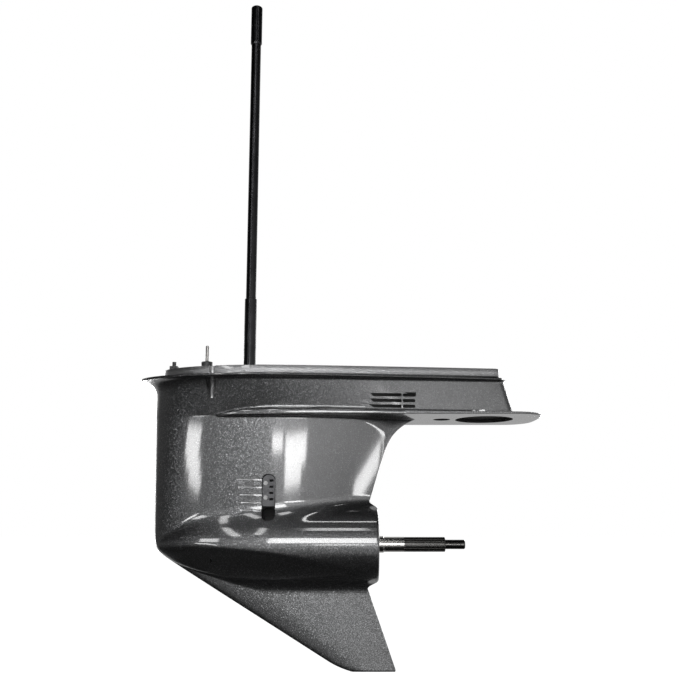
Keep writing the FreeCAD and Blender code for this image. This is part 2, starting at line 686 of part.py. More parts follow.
def casing_outside():
    """Strut, upper body, torpedo, skeg, plate, lip and deck rim, fused."""
    plate_low = AXIS_Z.value + S.plate_rise.value
    strut_top = 1 + S.plate_lap.value / S.plate_rise.value
    strut = Part.makeLoft([strut_section(s) for s in (0, 0.35, 0.65, 0.82, 0.92, strut_top)], True)
    body = Part.makeLoft([body_section(s) for s in (0, 0.4, 0.7, 0.9, 1.0)], True)
    foot = S.skeg_depth.value
    bend = S.skeg_bend.value
    skeg = Part.makeLoft([skeg_section(d) for d in (20, bend)], True, True)
    toe = Part.makeLoft([skeg_section(d) for d in (bend, (foot + bend) / 2, foot)], True)
    plate = Part.Face(plate_outline(plate_low)).extrude(Vector(0, 0, S.plate_thick.value))
    lip_low = -S.lip_drop.value
    return [
        shaped("strut", strut),
        shaped("upper_body", body),
        shaped("torpedo", torpedo(), Vector(0, 0, AXIS_Z.value)),
        shaped("skeg", skeg),
        shaped("skeg_toe", toe),
        shaped("plate", plate),
        flat_foil("lip", lip_low, S.lip_thick.value, -S.lip_nose.value, S.lip_half.value,
                  S.lip_tail.value, S.body_tail_half.value + 3),
        flat_foil("rim", lip_low, S.lip_drop.value, -S.rim_nose.value, S.rim_half.value,
                  S.rim_tail.value, S.body_tail_half.value - 1),
        cylinder("tab_boss", S.tab_radius + S.tab_wall, S.plate_thick + S.tab_boss,
                 (S.tab_x, ZERO, AXIS_Z + S.plate_rise)),
    ]


# Casing, openings

def wedge_room(name, low, high, front, aft, half_front, half_aft):
    """A flat-sided chamber that narrows aft."""
    corners = [
        Vector(front.value, -half_front.value, low.value),
        Vector(aft.value, -half_aft.value, low.value),
        Vector(aft.value, half_aft.value, low.value),
        Vector(front.value, half_front.value, low.value),
    ]
    face = Part.Face(Part.makePolygon(corners + corners[:1]))
    return shaped(name, face.extrude(Vector(0, 0, (high - low).value)))


def casing_openings():
    """Every chamber, bore, hole, slot and pocket that is cut from the casing."""
    above = sized(5)
    tools = []

    lengthwise = (
        (-S.spool_bore_front, ZERO),
        (-S.spool_bore_front, S.spool_bore),
        (-cup_end, S.spool_bore),
        (-cup_end, S.forward_cup_outer),
        (-S.gear_shoulder, S.forward_cup_outer),
        (-S.gear_shoulder, S.gear_room),
        (S.carrier_front, S.gear_room),
        (S.carrier_front, S.carrier_radius + S.seat_gap),
        (S.carrier_barrel_end + 2, S.carrier_radius + S.seat_gap),
        (S.carrier_barrel_end + 2, S.exhaust_bore),
        (S.carrier_ring_front, S.exhaust_bore),
        (S.carrier_ring_front, S.carrier_ring + S.seat_gap),
        (S.carrier_aft + S.tab_washer_thick, S.carrier_ring + S.seat_gap),
        (S.carrier_aft + S.tab_washer_thick, S.ring_nut_radius + S.seat_gap),
        (S.torpedo_aft + above, S.ring_nut_radius + S.seat_gap),
        (S.torpedo_aft + above, ZERO),
    )
    tools.append(turned("lengthwise_bore", "along", lengthwise))

    upright = (
        (ZERO, AXIS_Z),
        (S.pinion_room, AXIS_Z),
        (S.pinion_room, AXIS_Z + S.needle_low),
        (S.needle_race, AXIS_Z + S.needle_low),
        (S.needle_race, upper_shim_low),
        (S.upper_bearing_outer, upper_shim_low),
        (S.upper_bearing_outer, -S.upper_bearing_top),
        (S.upper_bearing_outer + S.seat_gap, -S.upper_bearing_top),
        (S.upper_bearing_outer + S.seat_gap, -S.well_depth),
        (S.well_radius, -S.well_depth),
        (S.well_radius, above),
        (ZERO, above),
    )
    tools.append(turned("upright_bore", "upright", upright))

    shift_at = (-S.shift_x, ZERO, AXIS_Z)
    tools.append(cylinder("crank_room", S.spool_bore, S.crank_rise + S.crank_thick + 1, shift_at))
    tools.append(cylinder("rod_bore", S.guide_radius + S.seat_gap, S.propeller_drop + above, shift_at))
    tools.append(cylinder("guide_seat", S.guide_flange + S.seat_gap, S.guide_sink + above,
                          (-S.shift_x, ZERO, -S.guide_sink)))
    pitot_room = S.pitot_half + S.seat_gap
    tools.append(block("pitot_seat", (-S.pitot_x - pitot_room, -pitot_room, -S.pitot_sink),
                       (-S.pitot_x + pitot_room, pitot_room, above)))

    tools.append(wedge_room("exhaust_chamber", -S.exhaust_depth, above, S.exhaust_front, S.exhaust_aft,
                            S.exhaust_half_front, S.exhaust_half_aft))
    tools.append(wedge_room("exhaust_duct", AXIS_Z + 45, -S.exhaust_depth + 1, S.duct_front, S.duct_aft,
                            S.duct_half_front, S.duct_half_aft))

    bolts = (
        ("front", -S.bolt_front, S.bolt_half, S.scallop_front),
        ("middle", S.bolt_middle, S.bolt_half, S.scallop_middle),
        ("rear", S.bolt_rear, S.bolt_half_rear, S.scallop_rear),
    )
    for name, x, half, deep in bolts:
        for side, sign in (("port", -1), ("starboard", 1)):
            y = half * sign
            low = -S.lip_drop - deep
            tools.append(cylinder(f"{name}_hole_{side}", S.bolt_hole, -low + above, (x, y, low)))
            tools.append(shaped_scallop(f"{name}_scallop_{side}", x, y, deep, sign))
    for name, x in (("access", S.access_x), ("tab", S.tab_x)):
        low = AXIS_Z + S.plate_rise - 1
        tools.append(cylinder(name + "_bolt_hole", S.bolt_hole, -low + above, (x, ZERO, low)))
    plate_low = AXIS_Z + S.plate_rise
    access_deep = -S.access_roof - plate_low + 1
    tools.append(cylinder("access_hole", S.access_radius, access_deep, (S.access_x, ZERO, plate_low - 1)))
    tools.append(cylinder("tab_seat", S.tab_radius, S.tab_deep + 1, (S.tab_x, ZERO, plate_low - 1)))

    for number in (-1, 0, 1):
        low = plate_low + S.slot_rise + S.slot_pitch * number - S.slot_high / 2
        for side, sign in (("port", -1), ("starboard", 1)):
            y_low = S.slot_floor if sign > 0 else -S.lip_half
            y_high = S.lip_half if sign > 0 else -S.slot_floor
            tools.append(block(f"slot_{side}_{number + 2}", (S.slot_front, y_low, low),
                               (S.slot_aft, y_high, low + S.slot_high)))

    for side, sign in (("port", -1), ("starboard", 1)):
        tools += inlet_openings(side, sign)

    water_low = AXIS_Z + S.scoop_low + S.scoop_pitch * 2
    tools.append(cylinder("water_passage", S.water_radius, -S.well_depth - water_low + 1,
                          (S.water_x, ZERO, water_low)))
    tools.append(cylinder("water_cross_bore", S.water_cross, S.inlet_floor * 2 + 2,
                          (S.water_x, -S.inlet_floor - 1, water_low), ALONG_Y))

    tools.append(cylinder("drain_bore", S.plug_radius, 30, (-S.drain_x, S.gear_room - 12, AXIS_Z), ALONG_Y))
    tools.append(cylinder("drain_spot", S.plug_head + 1, 30, (-S.drain_x, S.drain_seat, AXIS_Z), ALONG_Y))
    level = AXIS_Z + S.level_rise
    tools.append(cylinder("level_bore", S.plug_radius, 60, (ZERO, ZERO, level), ALONG_Y))
    tools.append(cylinder("level_spot", S.plug_head + 1, 30, (ZERO, S.level_seat, level), ALONG_Y))

    for index in range(4):
        angle = math.radians(45 + 90 * index)
        x, y = S.pump_bolt_circle * math.cos(angle), S.pump_bolt_circle * math.sin(angle)
        low = -S.well_depth - S.pump_bolt_depth
        tools.append(cylinder(f"pump_bolt_thread_{index + 1}", S.pump_bolt_radius, S.pump_bolt_depth + 1,
                              (x, y, low)))
    for name, x in (("front", -S.dowel_front), ("rear", S.dowel_aft)):
        tools.append(cylinder(f"dowel_hole_{name}", S.dowel_radius, S.dowel_down + above,
                              (x, ZERO, -S.dowel_down)))
    return tools


def cover_screw_levels():
    """The heights of the two screws in an inlet cover."""
    low = AXIS_Z + S.cover_low
    high = AXIS_Z + S.inlet_high - S.cover_gap
    return [low + (high - low) * share for share in (0.27, 0.73)]


def shaped_scallop(name, x, y, deep, sign):
    """The pocket under a leg bolt: a round bottomed bite, open to the side of the casing."""
    top = -S.lip_drop.value
    radius = S.scallop_radius.value
    tip = Vector(0, radius * 0.8 * sign, top - deep.value)
    bite = Part.makeCone(radius * 0.35, radius, deep.value, tip)
    reach = 40.0
    low = Vector(-radius * 0.35, 0, top - deep.value)
    box = Part.makePolygon([
        Vector(-radius * 0.35, tip.y, low.z), Vector(radius * 0.35, tip.y, low.z),
        Vector(radius, tip.y, top), Vector(-radius, tip.y, top), Vector(-radius * 0.35, tip.y, low.z),
    ])
    run = Part.Face(box).extrude(Vector(0, reach * sign, 0))
    head = Part.makeCylinder(radius, deep.value * 0.5, Vector(0, 0, top - deep.value * 0.5))
    neck = Part.makeBox(radius * 2, abs(tip.y), deep.value * 0.5,
                        Vector(-radius, min(0, tip.y), top - deep.value * 0.5))
    return shaped(name, bite.multiFuse([run, head, neck]), Vector(x.value, y.value, 0))


def inlet_openings(side, sign):
    """One side's inlet pocket with round ends, and the five scoops ahead of it."""
    reach = sized(30)
    y = S.inlet_floor if sign > 0 else -S.inlet_floor - reach
    low, high = AXIS_Z + S.inlet_low, AXIS_Z + S.inlet_high
    front, aft = S.inlet_x - S.inlet_half, S.inlet_x + S.inlet_half
    parts = [
        block(f"inlet_slot_{side}", (front, y, low + S.inlet_half), (aft, y + reach, high - S.inlet_half)),
        cylinder(f"inlet_foot_{side}", S.inlet_half, reach, (S.inlet_x, y, low + S.inlet_half), ALONG_Y),
        cylinder(f"inlet_head_{side}", S.inlet_half, reach, (S.inlet_x, y, high - S.inlet_half), ALONG_Y),
    ]
    for number, level in enumerate(cover_screw_levels()):
        thread_y = S.inlet_floor - S.screw_thread if sign > 0 else -S.inlet_floor
        parts.append(cylinder(f"cover_thread_{side}_{number + 1}", S.screw_radius, S.screw_thread,
                              (S.inlet_x - S.screw_aside, thread_y, level), ALONG_Y))
    slope = math.radians(S.scoop_slope.value)
    for number in range(5):
        level = AXIS_Z + S.scoop_low + S.scoop_pitch * number
        long = (front + S.scoop_front) * 1.1
        scoop = Part.makeBox(long.value, 20, S.scoop_high.value)
        turn = FreeCAD.Rotation(Vector(0, 0, 1), -math.degrees(slope) * sign)
        rear = S.inlet_floor.value + 4
        start = rear + long.value * math.sin(slope)
        x = (front - long * math.cos(slope)).value
        box_y = start if sign > 0 else -start
        if sign < 0:
            scoop.translate(Vector(0, -20, 0))
        parts.append(shaped(f"scoop_{side}_{number + 1}", scoop,
                            Vector(x, box_y, level.value - S.scoop_high.value / 2), turn))
    return parts


# Gears with true involute flanks, drawn as flat strips that all run to the apex

def involute_angle(base, radius):
    """Angle of the involute of a base circle at a radius."""
    if radius <= base:
        return 0.0
    pressure = math.acos(base / radius)
    return math.tan(pressure) - pressure


def bevel_teeth(count, mate, bore_depth):
    """A toothed cone frustum, apex at the origin and axis along +X, with a gap at +Z."""
    module = S.tooth_module.value
    pitch_cone = math.atan2(count, mate)
    cone_long = module * math.hypot(count, mate) / 2
    inner = cone_long - S.face_width.value
    back = module * count / 2 / math.cos(pitch_cone)
    pressure = math.radians(20)
    base = back * math.cos(pressure)
    half_pitch = (math.pi * module / 2 - S.tooth_thinning.value) / 2 / back
    tip, root = back + 0.9 * module, back - 1.2 * module
    levels = [root, max(base, back - 0.8 * module), back - 0.35 * module, back, back + 0.45 * module, tip]
    flank = []
    for radius in levels:
        half = half_pitch + involute_angle(base, back) - involute_angle(base, radius)
        flank.append((radius, half))
    rays = []
    for tooth in range(count):
        middle = 2 * math.pi * (tooth + 0.5) / count
        side = [(radius, -half) for radius, half in flank]
        side += [(radius, half) for radius, half in reversed(flank)]
        for radius, half in side:
            lift = radius - back
            turn = middle + half * back / (module * count / 2)
            along = cone_long * math.cos(pitch_cone) - lift * math.sin(pitch_cone)
            out = cone_long * math.sin(pitch_cone) + lift * math.cos(pitch_cone)
            rays.append((turn, out / along))
    near = (inner * math.cos(pitch_cone)) * 0.8
    far = cone_long * math.cos(pitch_cone) + bore_depth
    rings = []
    for along in (near, far):
        rings.append([Vector(along, along * slope * math.sin(turn), along * slope * math.cos(turn))
                      for turn, slope in rays])
    faces = []
    total = len(rays)
    for index in range(total):
        after = (index + 1) % total
        quad = [rings[0][index], rings[0][after], rings[1][after], rings[1][index], rings[0][index]]
        faces.append(Part.Face(Part.makePolygon(quad)))
    for points in rings:
        faces.append(Part.Face(Part.makePolygon(points + points[:1])))
    star = Part.makeSolid(Part.makeShell(faces))
    if star.Volume < 0:
        star.reverse()
    return star, zone(cone_long, inner, pitch_cone, module)


def zone(cone_long, inner, pitch_cone, module):
    """The turned space that the teeth may fill, between the back cone and the front cone."""
    along, out = math.cos(pitch_cone), math.sin(pitch_cone)
    corners = []
    for reach, lift in ((inner, 2.0), (inner, -2.2), (cone_long, -2.2), (cone_long, 2.0)):
        scale = reach / cone_long
        rise = lift * module * scale if lift > 0 else lift * module
        corners.append(Vector(reach * along - rise * out, 0, reach * out + rise * along))
    face = Part.Face(Part.makePolygon(corners + corners[:1]))
    return face.revolve(Vector(), Vector(1, 0, 0), 360)


def turned_shape(corners):
    """A turned solid about X from plain corners."""
    points = [Vector(a, 0, b) for a, b in corners]
    return Part.Face(Part.makePolygon(points + points[:1])).revolve(Vector(), Vector(1, 0, 0), 360)


def sectors(count, inner, outer, start, tall, offset):
    """Jaws: ring sectors about X, the first one centred offset degrees from +Z."""
    wide = S.jaw_degrees.value
    made = []
    for index in range(count):
        rod = Part.makeCylinder(outer, tall, Vector(), Vector(0, 0, 1), wide)
        rod = rod.cut(Part.makeCylinder(inner, tall))
        rod.rotate(Vector(), Vector(0, 0, 1), offset + 360 / count * index - wide / 2)
        rod.rotate(Vector(), Vector(0, 1, 0), 90)
        rod.translate(Vector(start, 0, 0))
        made.append(rod)
    return made


def driven_gear():
    """A bevel gear with hub, bearing seat and clutch jaws, facing the pinion from +X."""
    gear, pinion = GEAR_TEETH, PINION_TEETH
    module = S.tooth_module.value
    cone = math.atan2(gear, pinion)
    cone_long = module * math.hypot(gear, pinion) / 2
    inner = cone_long - S.face_width.value
    sink = 1.15 * module
    small = (inner * math.cos(cone) + sink * inner / cone_long * math.sin(cone),
             inner * math.sin(cone) - sink * inner / cone_long * math.cos(cone))
    large = (cone_long * math.cos(cone) + sink * math.sin(cone),
             cone_long * math.sin(cone) - sink * math.cos(cone))
    bore = S.gear_bore.value
    blank = turned_shape((
        (S.jaw_face.value, bore),
        (S.jaw_face.value, small[1] - 0.5),
        small,
        large,
        (S.gear_back.value, large[1] - (S.gear_back.value - large[0]) * 0.5),
        (S.gear_back.value, S.gear_shoulder_radius.value),
        (S.gear_shoulder.value, S.gear_shoulder_radius.value),
        (S.gear_shoulder.value, S.gear_hub.value),
        (S.gear_hub_end.value, S.gear_hub.value),
        (S.gear_hub_end.value, bore),
    ))
    star, room = bevel_teeth(gear, pinion, 8)
    hollow = turned_shape(((-5, 0), (-5, small[1] - 1), (60, small[1] - 1), (60, 0)))
    teeth = star.common(room).cut(hollow)
    jaws = sectors(4, bore, S.jaw_outer.value, S.jaw_face.value - S.jaw_high.value, S.jaw_high.value + 1, 45)
    return blank.multiFuse([teeth] + jaws).removeSplitter()


def pinion_shape():
    """The pinion, apex at the origin and axis along +Z, a tooth facing fore and aft."""
    module = S.tooth_module.value
    star, room = bevel_teeth(PINION_TEETH, GEAR_TEETH, 8)
    cone = math.atan2(PINION_TEETH, GEAR_TEETH)
    cone_long = module * math.hypot(GEAR_TEETH, PINION_TEETH) / 2
    inner = cone_long - S.face_width.value
    sink = 1.15 * module
    small = (inner * math.cos(cone) + sink * inner / cone_long * math.sin(cone),
             inner * math.sin(cone) - sink * inner / cone_long * math.cos(cone))
    large = (cone_long * math.cos(cone) + sink * math.sin(cone),
             cone_long * math.sin(cone) - sink * math.cos(cone))
    blank = turned_shape((
        (small[0], 0),
        small,
        large,
        (large[0] + 3, S.pinion_hub.value),
        (S.pinion_top.value, S.pinion_hub.value),
        (S.pinion_top.value, 0),
    ))
    whole = blank.fuse(star.common(room))
    recess = S.nut_radius.value + 0.8
    stud_seat = S.nut_head.value
    bore = turned_shape(((0, 0), (0, recess), (stud_seat, recess), (stud_seat, S.pinion_bore.value),
                         (80, S.pinion_bore.value), (80, 0)))
    pinion = whole.cut(bore).removeSplitter()
    pinion.rotate(Vector(), Vector(0, 1, 0), -90)
    pinion.rotate(Vector(), Vector(0, 0, 1), 180 / PINION_TEETH)
    return pinion


cup_end = S.gear_shoulder + S.forward_cup_long + S.shim_thick
upper_low = -S.upper_bearing_top - S.upper_bearing_long
upper_shim_low = upper_low - S.shim_thick
well_floor = -S.well_depth
base_top = well_floor + S.seal_base_thick
gasket_top = base_top + S.gasket_thick
pump_foot = gasket_top + S.wear_plate_thick
pump_top = pump_foot + S.pump_high
carrier_ball_end = S.gear_shoulder + S.ball_long
clutch_spline_half = S.shaft_spline * (math.pi / CLUTCH_SPLINES / 2)


def make_casing():
    """The casing: its outside less its openings."""
    outside = fuse("casing_outside", casing_outside())
    openings = fuse("casing_openings", casing_openings())
    keep("gearcase_housing", cut("gearcase_housing_cut", outside, openings))
    for tool in ("lengthwise_bore", "upright_bore"):
        pieces.pop(tool)


def make_drive_shaft():
    """The drive shaft with splined top, bearing seats and threaded foot, and the pinion on it."""
    corners = (
        (ZERO, AXIS_Z + S.nut_foot),
        (S.stud_radius, AXIS_Z + S.nut_foot),
        (S.stud_radius, AXIS_Z + S.nut_head),
        (S.pinion_bore, AXIS_Z + S.nut_head),
        (S.pinion_bore, AXIS_Z + S.pinion_top),
        (S.needle_race - S.needle_radius * 2 - S.running_gap * 2 - 1.5, AXIS_Z + S.pinion_top),
        (S.needle_race - S.needle_radius * 2 - S.running_gap * 2 - 1.5,
         AXIS_Z + S.needle_low + S.needle_long),
        (S.drive_waist, AXIS_Z + S.needle_low + S.needle_long + 3),
        (S.drive_waist, upper_low - 12),
        (S.drive_shoulder, upper_low - 6),
        (S.drive_shoulder, upper_low),
        (S.drive_seat, upper_low),
        (S.drive_seat, -S.upper_bearing_top + 2),
        (S.drive_radius, -S.upper_bearing_top + 4),
        (S.drive_radius, S.drive_step),
        (S.drive_slim, S.drive_step + 1.5),
        (S.drive_slim, S.drive_spline_end - 3),
        (S.drive_spline_radius, S.drive_spline_end),
        (S.drive_spline_radius, S.drive_top - 1.5),
        (S.drive_spline_radius - 1.5, S.drive_top),
        (ZERO, S.drive_top),
    )
    shaft = turned("drive_shaft", "upright", corners)
    half = S.drive_spline_radius * (math.pi / DRIVE_SPLINES / 2)
    sketch = sketch_on(shaft, "drive_spline_outline", "XY_Plane", S.drive_top)
    draw_corners(sketch, (
        (S.drive_spline_root, -half), (S.drive_spline_radius + 2, -half),
        (S.drive_spline_radius + 2, half), (S.drive_spline_root, half),
    ))
    pocket(shaft, "drive_splines", sketch, S.drive_top - S.drive_spline_end, DRIVE_SPLINES)
    key = sketch_on(shaft, "key_outline", "XY_Plane", pump_foot + S.impeller_high - 2)
    draw_corners(key, (
        (S.drive_radius - 2, -S.key_half), (S.drive_radius + 2, -S.key_half),
        (S.drive_radius + 2, S.key_half), (S.drive_radius - 2, S.key_half),
    ))
    pocket(shaft, "keyway", key, S.impeller_high - 4)

    keep("pinion_gear", shaped("pinion_gear", pinion_shape(), Vector(0, 0, AXIS_Z.value)))
    nut = hexagon("nut_blank", S.nut_radius, S.nut_head - S.nut_foot, (ZERO, ZERO, AXIS_Z + S.nut_foot))
    hole = cylinder("nut_thread", S.stud_radius, S.nut_head - S.nut_foot + 2,
                    (ZERO, ZERO, AXIS_Z + S.nut_foot - 1))
    keep("pinion_nut", cut("pinion_nut_cut", nut, hole))


def make_drive_bearings():
    """The pinion's needle bearing and the tapered bearing under the pump."""
    low = AXIS_Z + S.needle_low
    circle = S.needle_race - S.needle_radius - 1.5 - S.running_gap
    shell = ring("pinion_needle_bearing_shell", "upright", S.needle_race - 1.5, S.needle_race,
                 low, low + S.needle_long)
    needles = round_the_shaft("pinion_needle", 22, S.needle_radius, circle, low + 1, S.needle_long - 2,
                              "upright")
    pieces.pop("pinion_needle_bearing_shell")
    group("pinion_needle_bearing", [shell] + needles)

    top = -S.upper_bearing_top
    ring("upper_bearing_shim", "upright", S.upper_bearing_outer - 6, S.upper_bearing_outer,
         upper_shim_low, upper_low)
    turned("upper_bearing_cup", "upright", (
        (S.upper_bearing_outer - 8, upper_low),
        (S.upper_bearing_outer, upper_low),
        (S.upper_bearing_outer, top),
        (S.upper_bearing_outer - 3, top),
    ))
    turned("upper_bearing_cone", "upright", (
        (S.drive_seat, upper_low),
        (S.upper_bearing_outer - 8 - S.running_gap, upper_low),
        (S.upper_bearing_outer - 3.5 - S.running_gap, top - 2),
        (S.drive_seat, top - 2),
    ))


def make_pump():
    """Seals, seal housing, gasket, wear plate, impeller, cup and pump housing."""
    hub_low = -S.upper_bearing_top
    ring_seat = hub_low + 4
    outer = S.upper_bearing_outer
    seal_low = base_top - S.drive_seal_thick * 2
    turned("drive_shaft_seal_housing", "upright", (
        (S.drive_seat + 1, hub_low),
        (outer, hub_low),
        (outer, ring_seat),
        (outer - S.ring_cord * 1.6, ring_seat),
        (outer - S.ring_cord * 1.6, ring_seat + S.ring_cord * 2),
        (outer, ring_seat + S.ring_cord * 2),
        (outer, well_floor),
        (S.seal_base_radius, well_floor),
        (S.seal_base_radius, base_top),
        (S.drive_seal_outer, base_top),
        (S.drive_seal_outer, seal_low),
        (S.drive_seat + 1, seal_low),
    ))
    housing = pieces["drive_shaft_seal_housing"]
    drill(housing, "seal_housing_bolts", S.pump_bolt_radius, S.pump_bolt_circle, base_top,
          S.seal_base_thick + 1, 4)
    water = sketch_on(housing, "seal_housing_water_outline", "XY_Plane", base_top)
    draw_circle(water, S.water_radius - 1, (S.water_x - 5, 0))
    pocket(housing, "seal_housing_water", water, S.seal_base_thick + 1)
    ring("seal_housing_o_ring", "upright", outer - S.ring_cord * 1.6, outer + S.seat_gap * 0.5,
         ring_seat, ring_seat + S.ring_cord * 2)

    lower = ring("drive_seal_lower", "upright", S.drive_radius + S.running_gap, S.drive_seal_outer,
                 seal_low, seal_low + S.drive_seal_thick)
    upper = ring("drive_seal_upper", "upright", S.drive_radius + S.running_gap, S.drive_seal_outer,
                 seal_low + S.drive_seal_thick, base_top)
    for name in ("drive_seal_lower", "drive_seal_upper"):
        pieces.pop(name)
    group("drive_shaft_oil_seals", [lower, upper])

    plates = (("pump_base_gasket", base_top, gasket_top), ("pump_wear_plate", gasket_top, pump_foot))
    for label, low, high in plates:
        sheet_metal = ring(label, "upright", S.drive_radius + 3, S.pump_flange, low, high)
        drill(sheet_metal, label + "_bolts", S.pump_bolt_radius, S.pump_bolt_circle, high, 5, 4)
        intake = sketch_on(sheet_metal, label + "_intake", "XY_Plane", high)
        draw_circle(intake, S.water_radius - 1.5, (S.cup_inner - 6, 0))
        pocket(sheet_metal, label + "_water", intake, 5)

    flange_top = pump_foot + S.pump_flange_thick
    cup_top = pump_foot + S.cup_high + S.cup_roof
    turned("pump_housing", "upright", (
        (S.cup_outer, pump_foot),
        (S.pump_flange, pump_foot),
        (S.pump_flange, flange_top),
        (S.pump_radius, flange_top),
        (S.pump_radius - 3, pump_top - 6),
        (S.pump_radius - 12, pump_top),
        (S.drive_radius + 2, pump_top),
        (S.drive_radius + 2, cup_top),
        (S.cup_outer, cup_top),
    ))
    pump = pieces["pump_housing"]
    drill(pump, "pump_flange_bolts", S.pump_bolt_radius, S.pump_bolt_circle, flange_top, 8, 4)
    outlet = sketch_on(pump, "pump_outlet_outline", "XY_Plane", pump_top - 6)
    draw_circle(outlet, S.outlet_radius, (S.outlet_x, 0))
    boss = pump.newObject("PartDesign::Pad", "pump_outlet")
    boss.Profile = outlet
    boss.setExpression("Length", (S.outlet_rise + 6).text)
    pump.Tip = boss
    bore = sketch_on(pump, "pump_outlet_bore_outline", "XY_Plane", pump_top + S.outlet_rise)
    draw_circle(bore, S.outlet_bore, (S.outlet_x, 0))
    pocket(pump, "pump_outlet_bore", bore, pump_top + S.outlet_rise - cup_top)
    outlet_top = pump_top + S.outlet_rise
    ring("water_tube_grommet", "upright", S.outlet_bore - 1, S.outlet_radius - 0.5, outlet_top,
         outlet_top + S.grommet_high - 7, at=(S.outlet_x, ZERO, ZERO))

    cartridge = cylinder("cup_blank", S.cup_outer, S.cup_high + S.cup_roof, (ZERO, ZERO, pump_foot))
    room = cylinder("cup_room", S.cup_inner, S.cup_high + 1, (S.cup_offset, ZERO, pump_foot - 1))
    eye = cylinder("cup_eye", S.drive_radius + 1, S.cup_high + 20, (ZERO, ZERO, pump_foot))
    port = cylinder("cup_port", S.outlet_bore - 1, S.cup_high + 20, (S.outlet_x, ZERO, pump_foot))
    keep("pump_cup", cut("pump_cup_cut", cartridge, fuse("cup_openings", [room, eye, port])))

    impeller_low = pump_foot.value + (S.cup_high.value - S.impeller_high.value) / 2
    keep("pump_impeller", shaped("pump_impeller", impeller_shape(), Vector(0, 0, impeller_low)))
    key_low = pump_foot + 2
    keep("impeller_key", block("impeller_key", (S.drive_radius - 2, -S.key_half, key_low),
                               (S.drive_radius + 2, S.key_half, key_low + S.impeller_high - 4)))

    bolts = []
    for index in range(4):
        angle = math.radians(45 + 90 * index)
        x, y = S.pump_bolt_circle * math.cos(angle), S.pump_bolt_circle * math.sin(angle)
        low = well_floor - S.pump_bolt_depth + 1
        shank = cylinder(f"pump_bolt_shank_{index + 1}", S.pump_bolt_radius, flange_top - low, (x, y, low))
        head = hexagon(f"pump_bolt_head_{index + 1}", S.pump_bolt_head, S.pump_bolt_head_high,
                       (x, y, flange_top))
        bolts.append(fuse(f"pump_bolt_{index + 1}", [shank, head]))
    group("pump_bolts", bolts)


def impeller_shape():
    """The impeller: a keyed hub with six blades that trail, each with a rounded tip."""
    tall = S.impeller_high.value
    thick = S.impeller_blade.value
    bead_radius = thick * 0.8
    aside = S.impeller_hub.value * 0.45 + thick / 2
    reach = math.sqrt((S.impeller_reach.value - bead_radius) ** 2 - aside ** 2)
    whole = Part.makeCylinder(S.impeller_hub.value, tall)
    for index in range(IMPELLER_BLADES):
        blade = Part.makeBox(reach, thick, tall, Vector(0, aside - thick / 2, 0))
        arm = blade.fuse(Part.makeCylinder(bead_radius, tall, Vector(reach, aside, 0)))
        arm.rotate(Vector(), Vector(0, 0, 1), 360 / IMPELLER_BLADES * index + 20)
        whole = whole.fuse(arm)
    keyway = Part.makeBox(S.drive_radius.value + 2, S.key_half.value * 2, tall,
                          Vector(0, -S.key_half.value, 0))
    bore = Part.makeCylinder(S.drive_radius.value, tall)
    return whole.cut(bore.fuse(keyway)).removeSplitter()


def make_driven_gears():
    """Forward and reverse gears, their bearings and the forward gear's needles."""
    gear = driven_gear()
    keep("reverse_gear", shaped("reverse_gear", gear, Vector(0, 0, AXIS_Z.value)))
    forward = gear.copy()
    forward.rotate(Vector(), Vector(0, 0, 1), 180)
    keep("forward_gear", shaped("forward_gear", forward, Vector(0, 0, AXIS_Z.value)))

    start, end = -S.gear_shoulder, -S.gear_shoulder - S.forward_cup_long
    outer = S.forward_cup_outer
    turned("forward_bearing_cone", "along", (
        (start, S.gear_hub),
        (start, outer - 6.5 - S.running_gap),
        (end + 1, outer - 12.5 - S.running_gap),
        (end + 1, S.gear_hub),
    ))
    turned("forward_bearing_cup", "along", (
        (start - 1, outer - 6.3),
        (start - 1, outer),
        (end, outer),
        (end, outer - 12.3),
    ))
    ring("forward_bearing_shim", "along", outer - 8, outer, end - S.shim_thick, end)

    circle = S.shaft_nose + S.running_gap + 1.42
    needles = round_the_shaft("forward_needle", 26, sized(1.4), circle, -S.gear_hub_end + 2,
                              S.gear_hub_end - S.jaw_face - 6, "along")
    group("forward_gear_needles", needles)

    low, high = S.gear_shoulder, carrier_ball_end
    middle = (S.gear_hub + S.ball_outer) / 2
    groove = S.ball_radius * 0.6
    inner_ring = ring("reverse_bearing_inner", "along", S.gear_hub, middle - groove, low, high)
    outer_ring = ring("reverse_bearing_outer", "along", middle + groove, S.ball_outer, low, high)
    for label, body in (("reverse_bearing_inner", inner_ring), ("reverse_bearing_outer", outer_ring)):
        sketch = sketch_on(body, label + "_groove_outline", "XZ_Plane")
        draw_circle(sketch, S.ball_radius + S.running_gap, ((low + high) / 2, middle))
        track = body.newObject("PartDesign::Groove", label + "_groove")
        track.Profile = sketch
        track.ReferenceAxis = (sketch, ["H_Axis"])
        track.Angle = 360
        body.Tip = track
    balls = []
    for index in range(11):
        angle = 2 * math.pi * index / 11
        ball = doc.addObject("Part::Sphere", f"reverse_ball_{index + 1}")
        bind(ball, Radius=S.ball_radius)
        place(ball, ((low + high) / 2, middle * math.cos(angle), middle * math.sin(angle) + AXIS_Z))
        balls.append(ball)
    group("reverse_bearing_balls", balls)


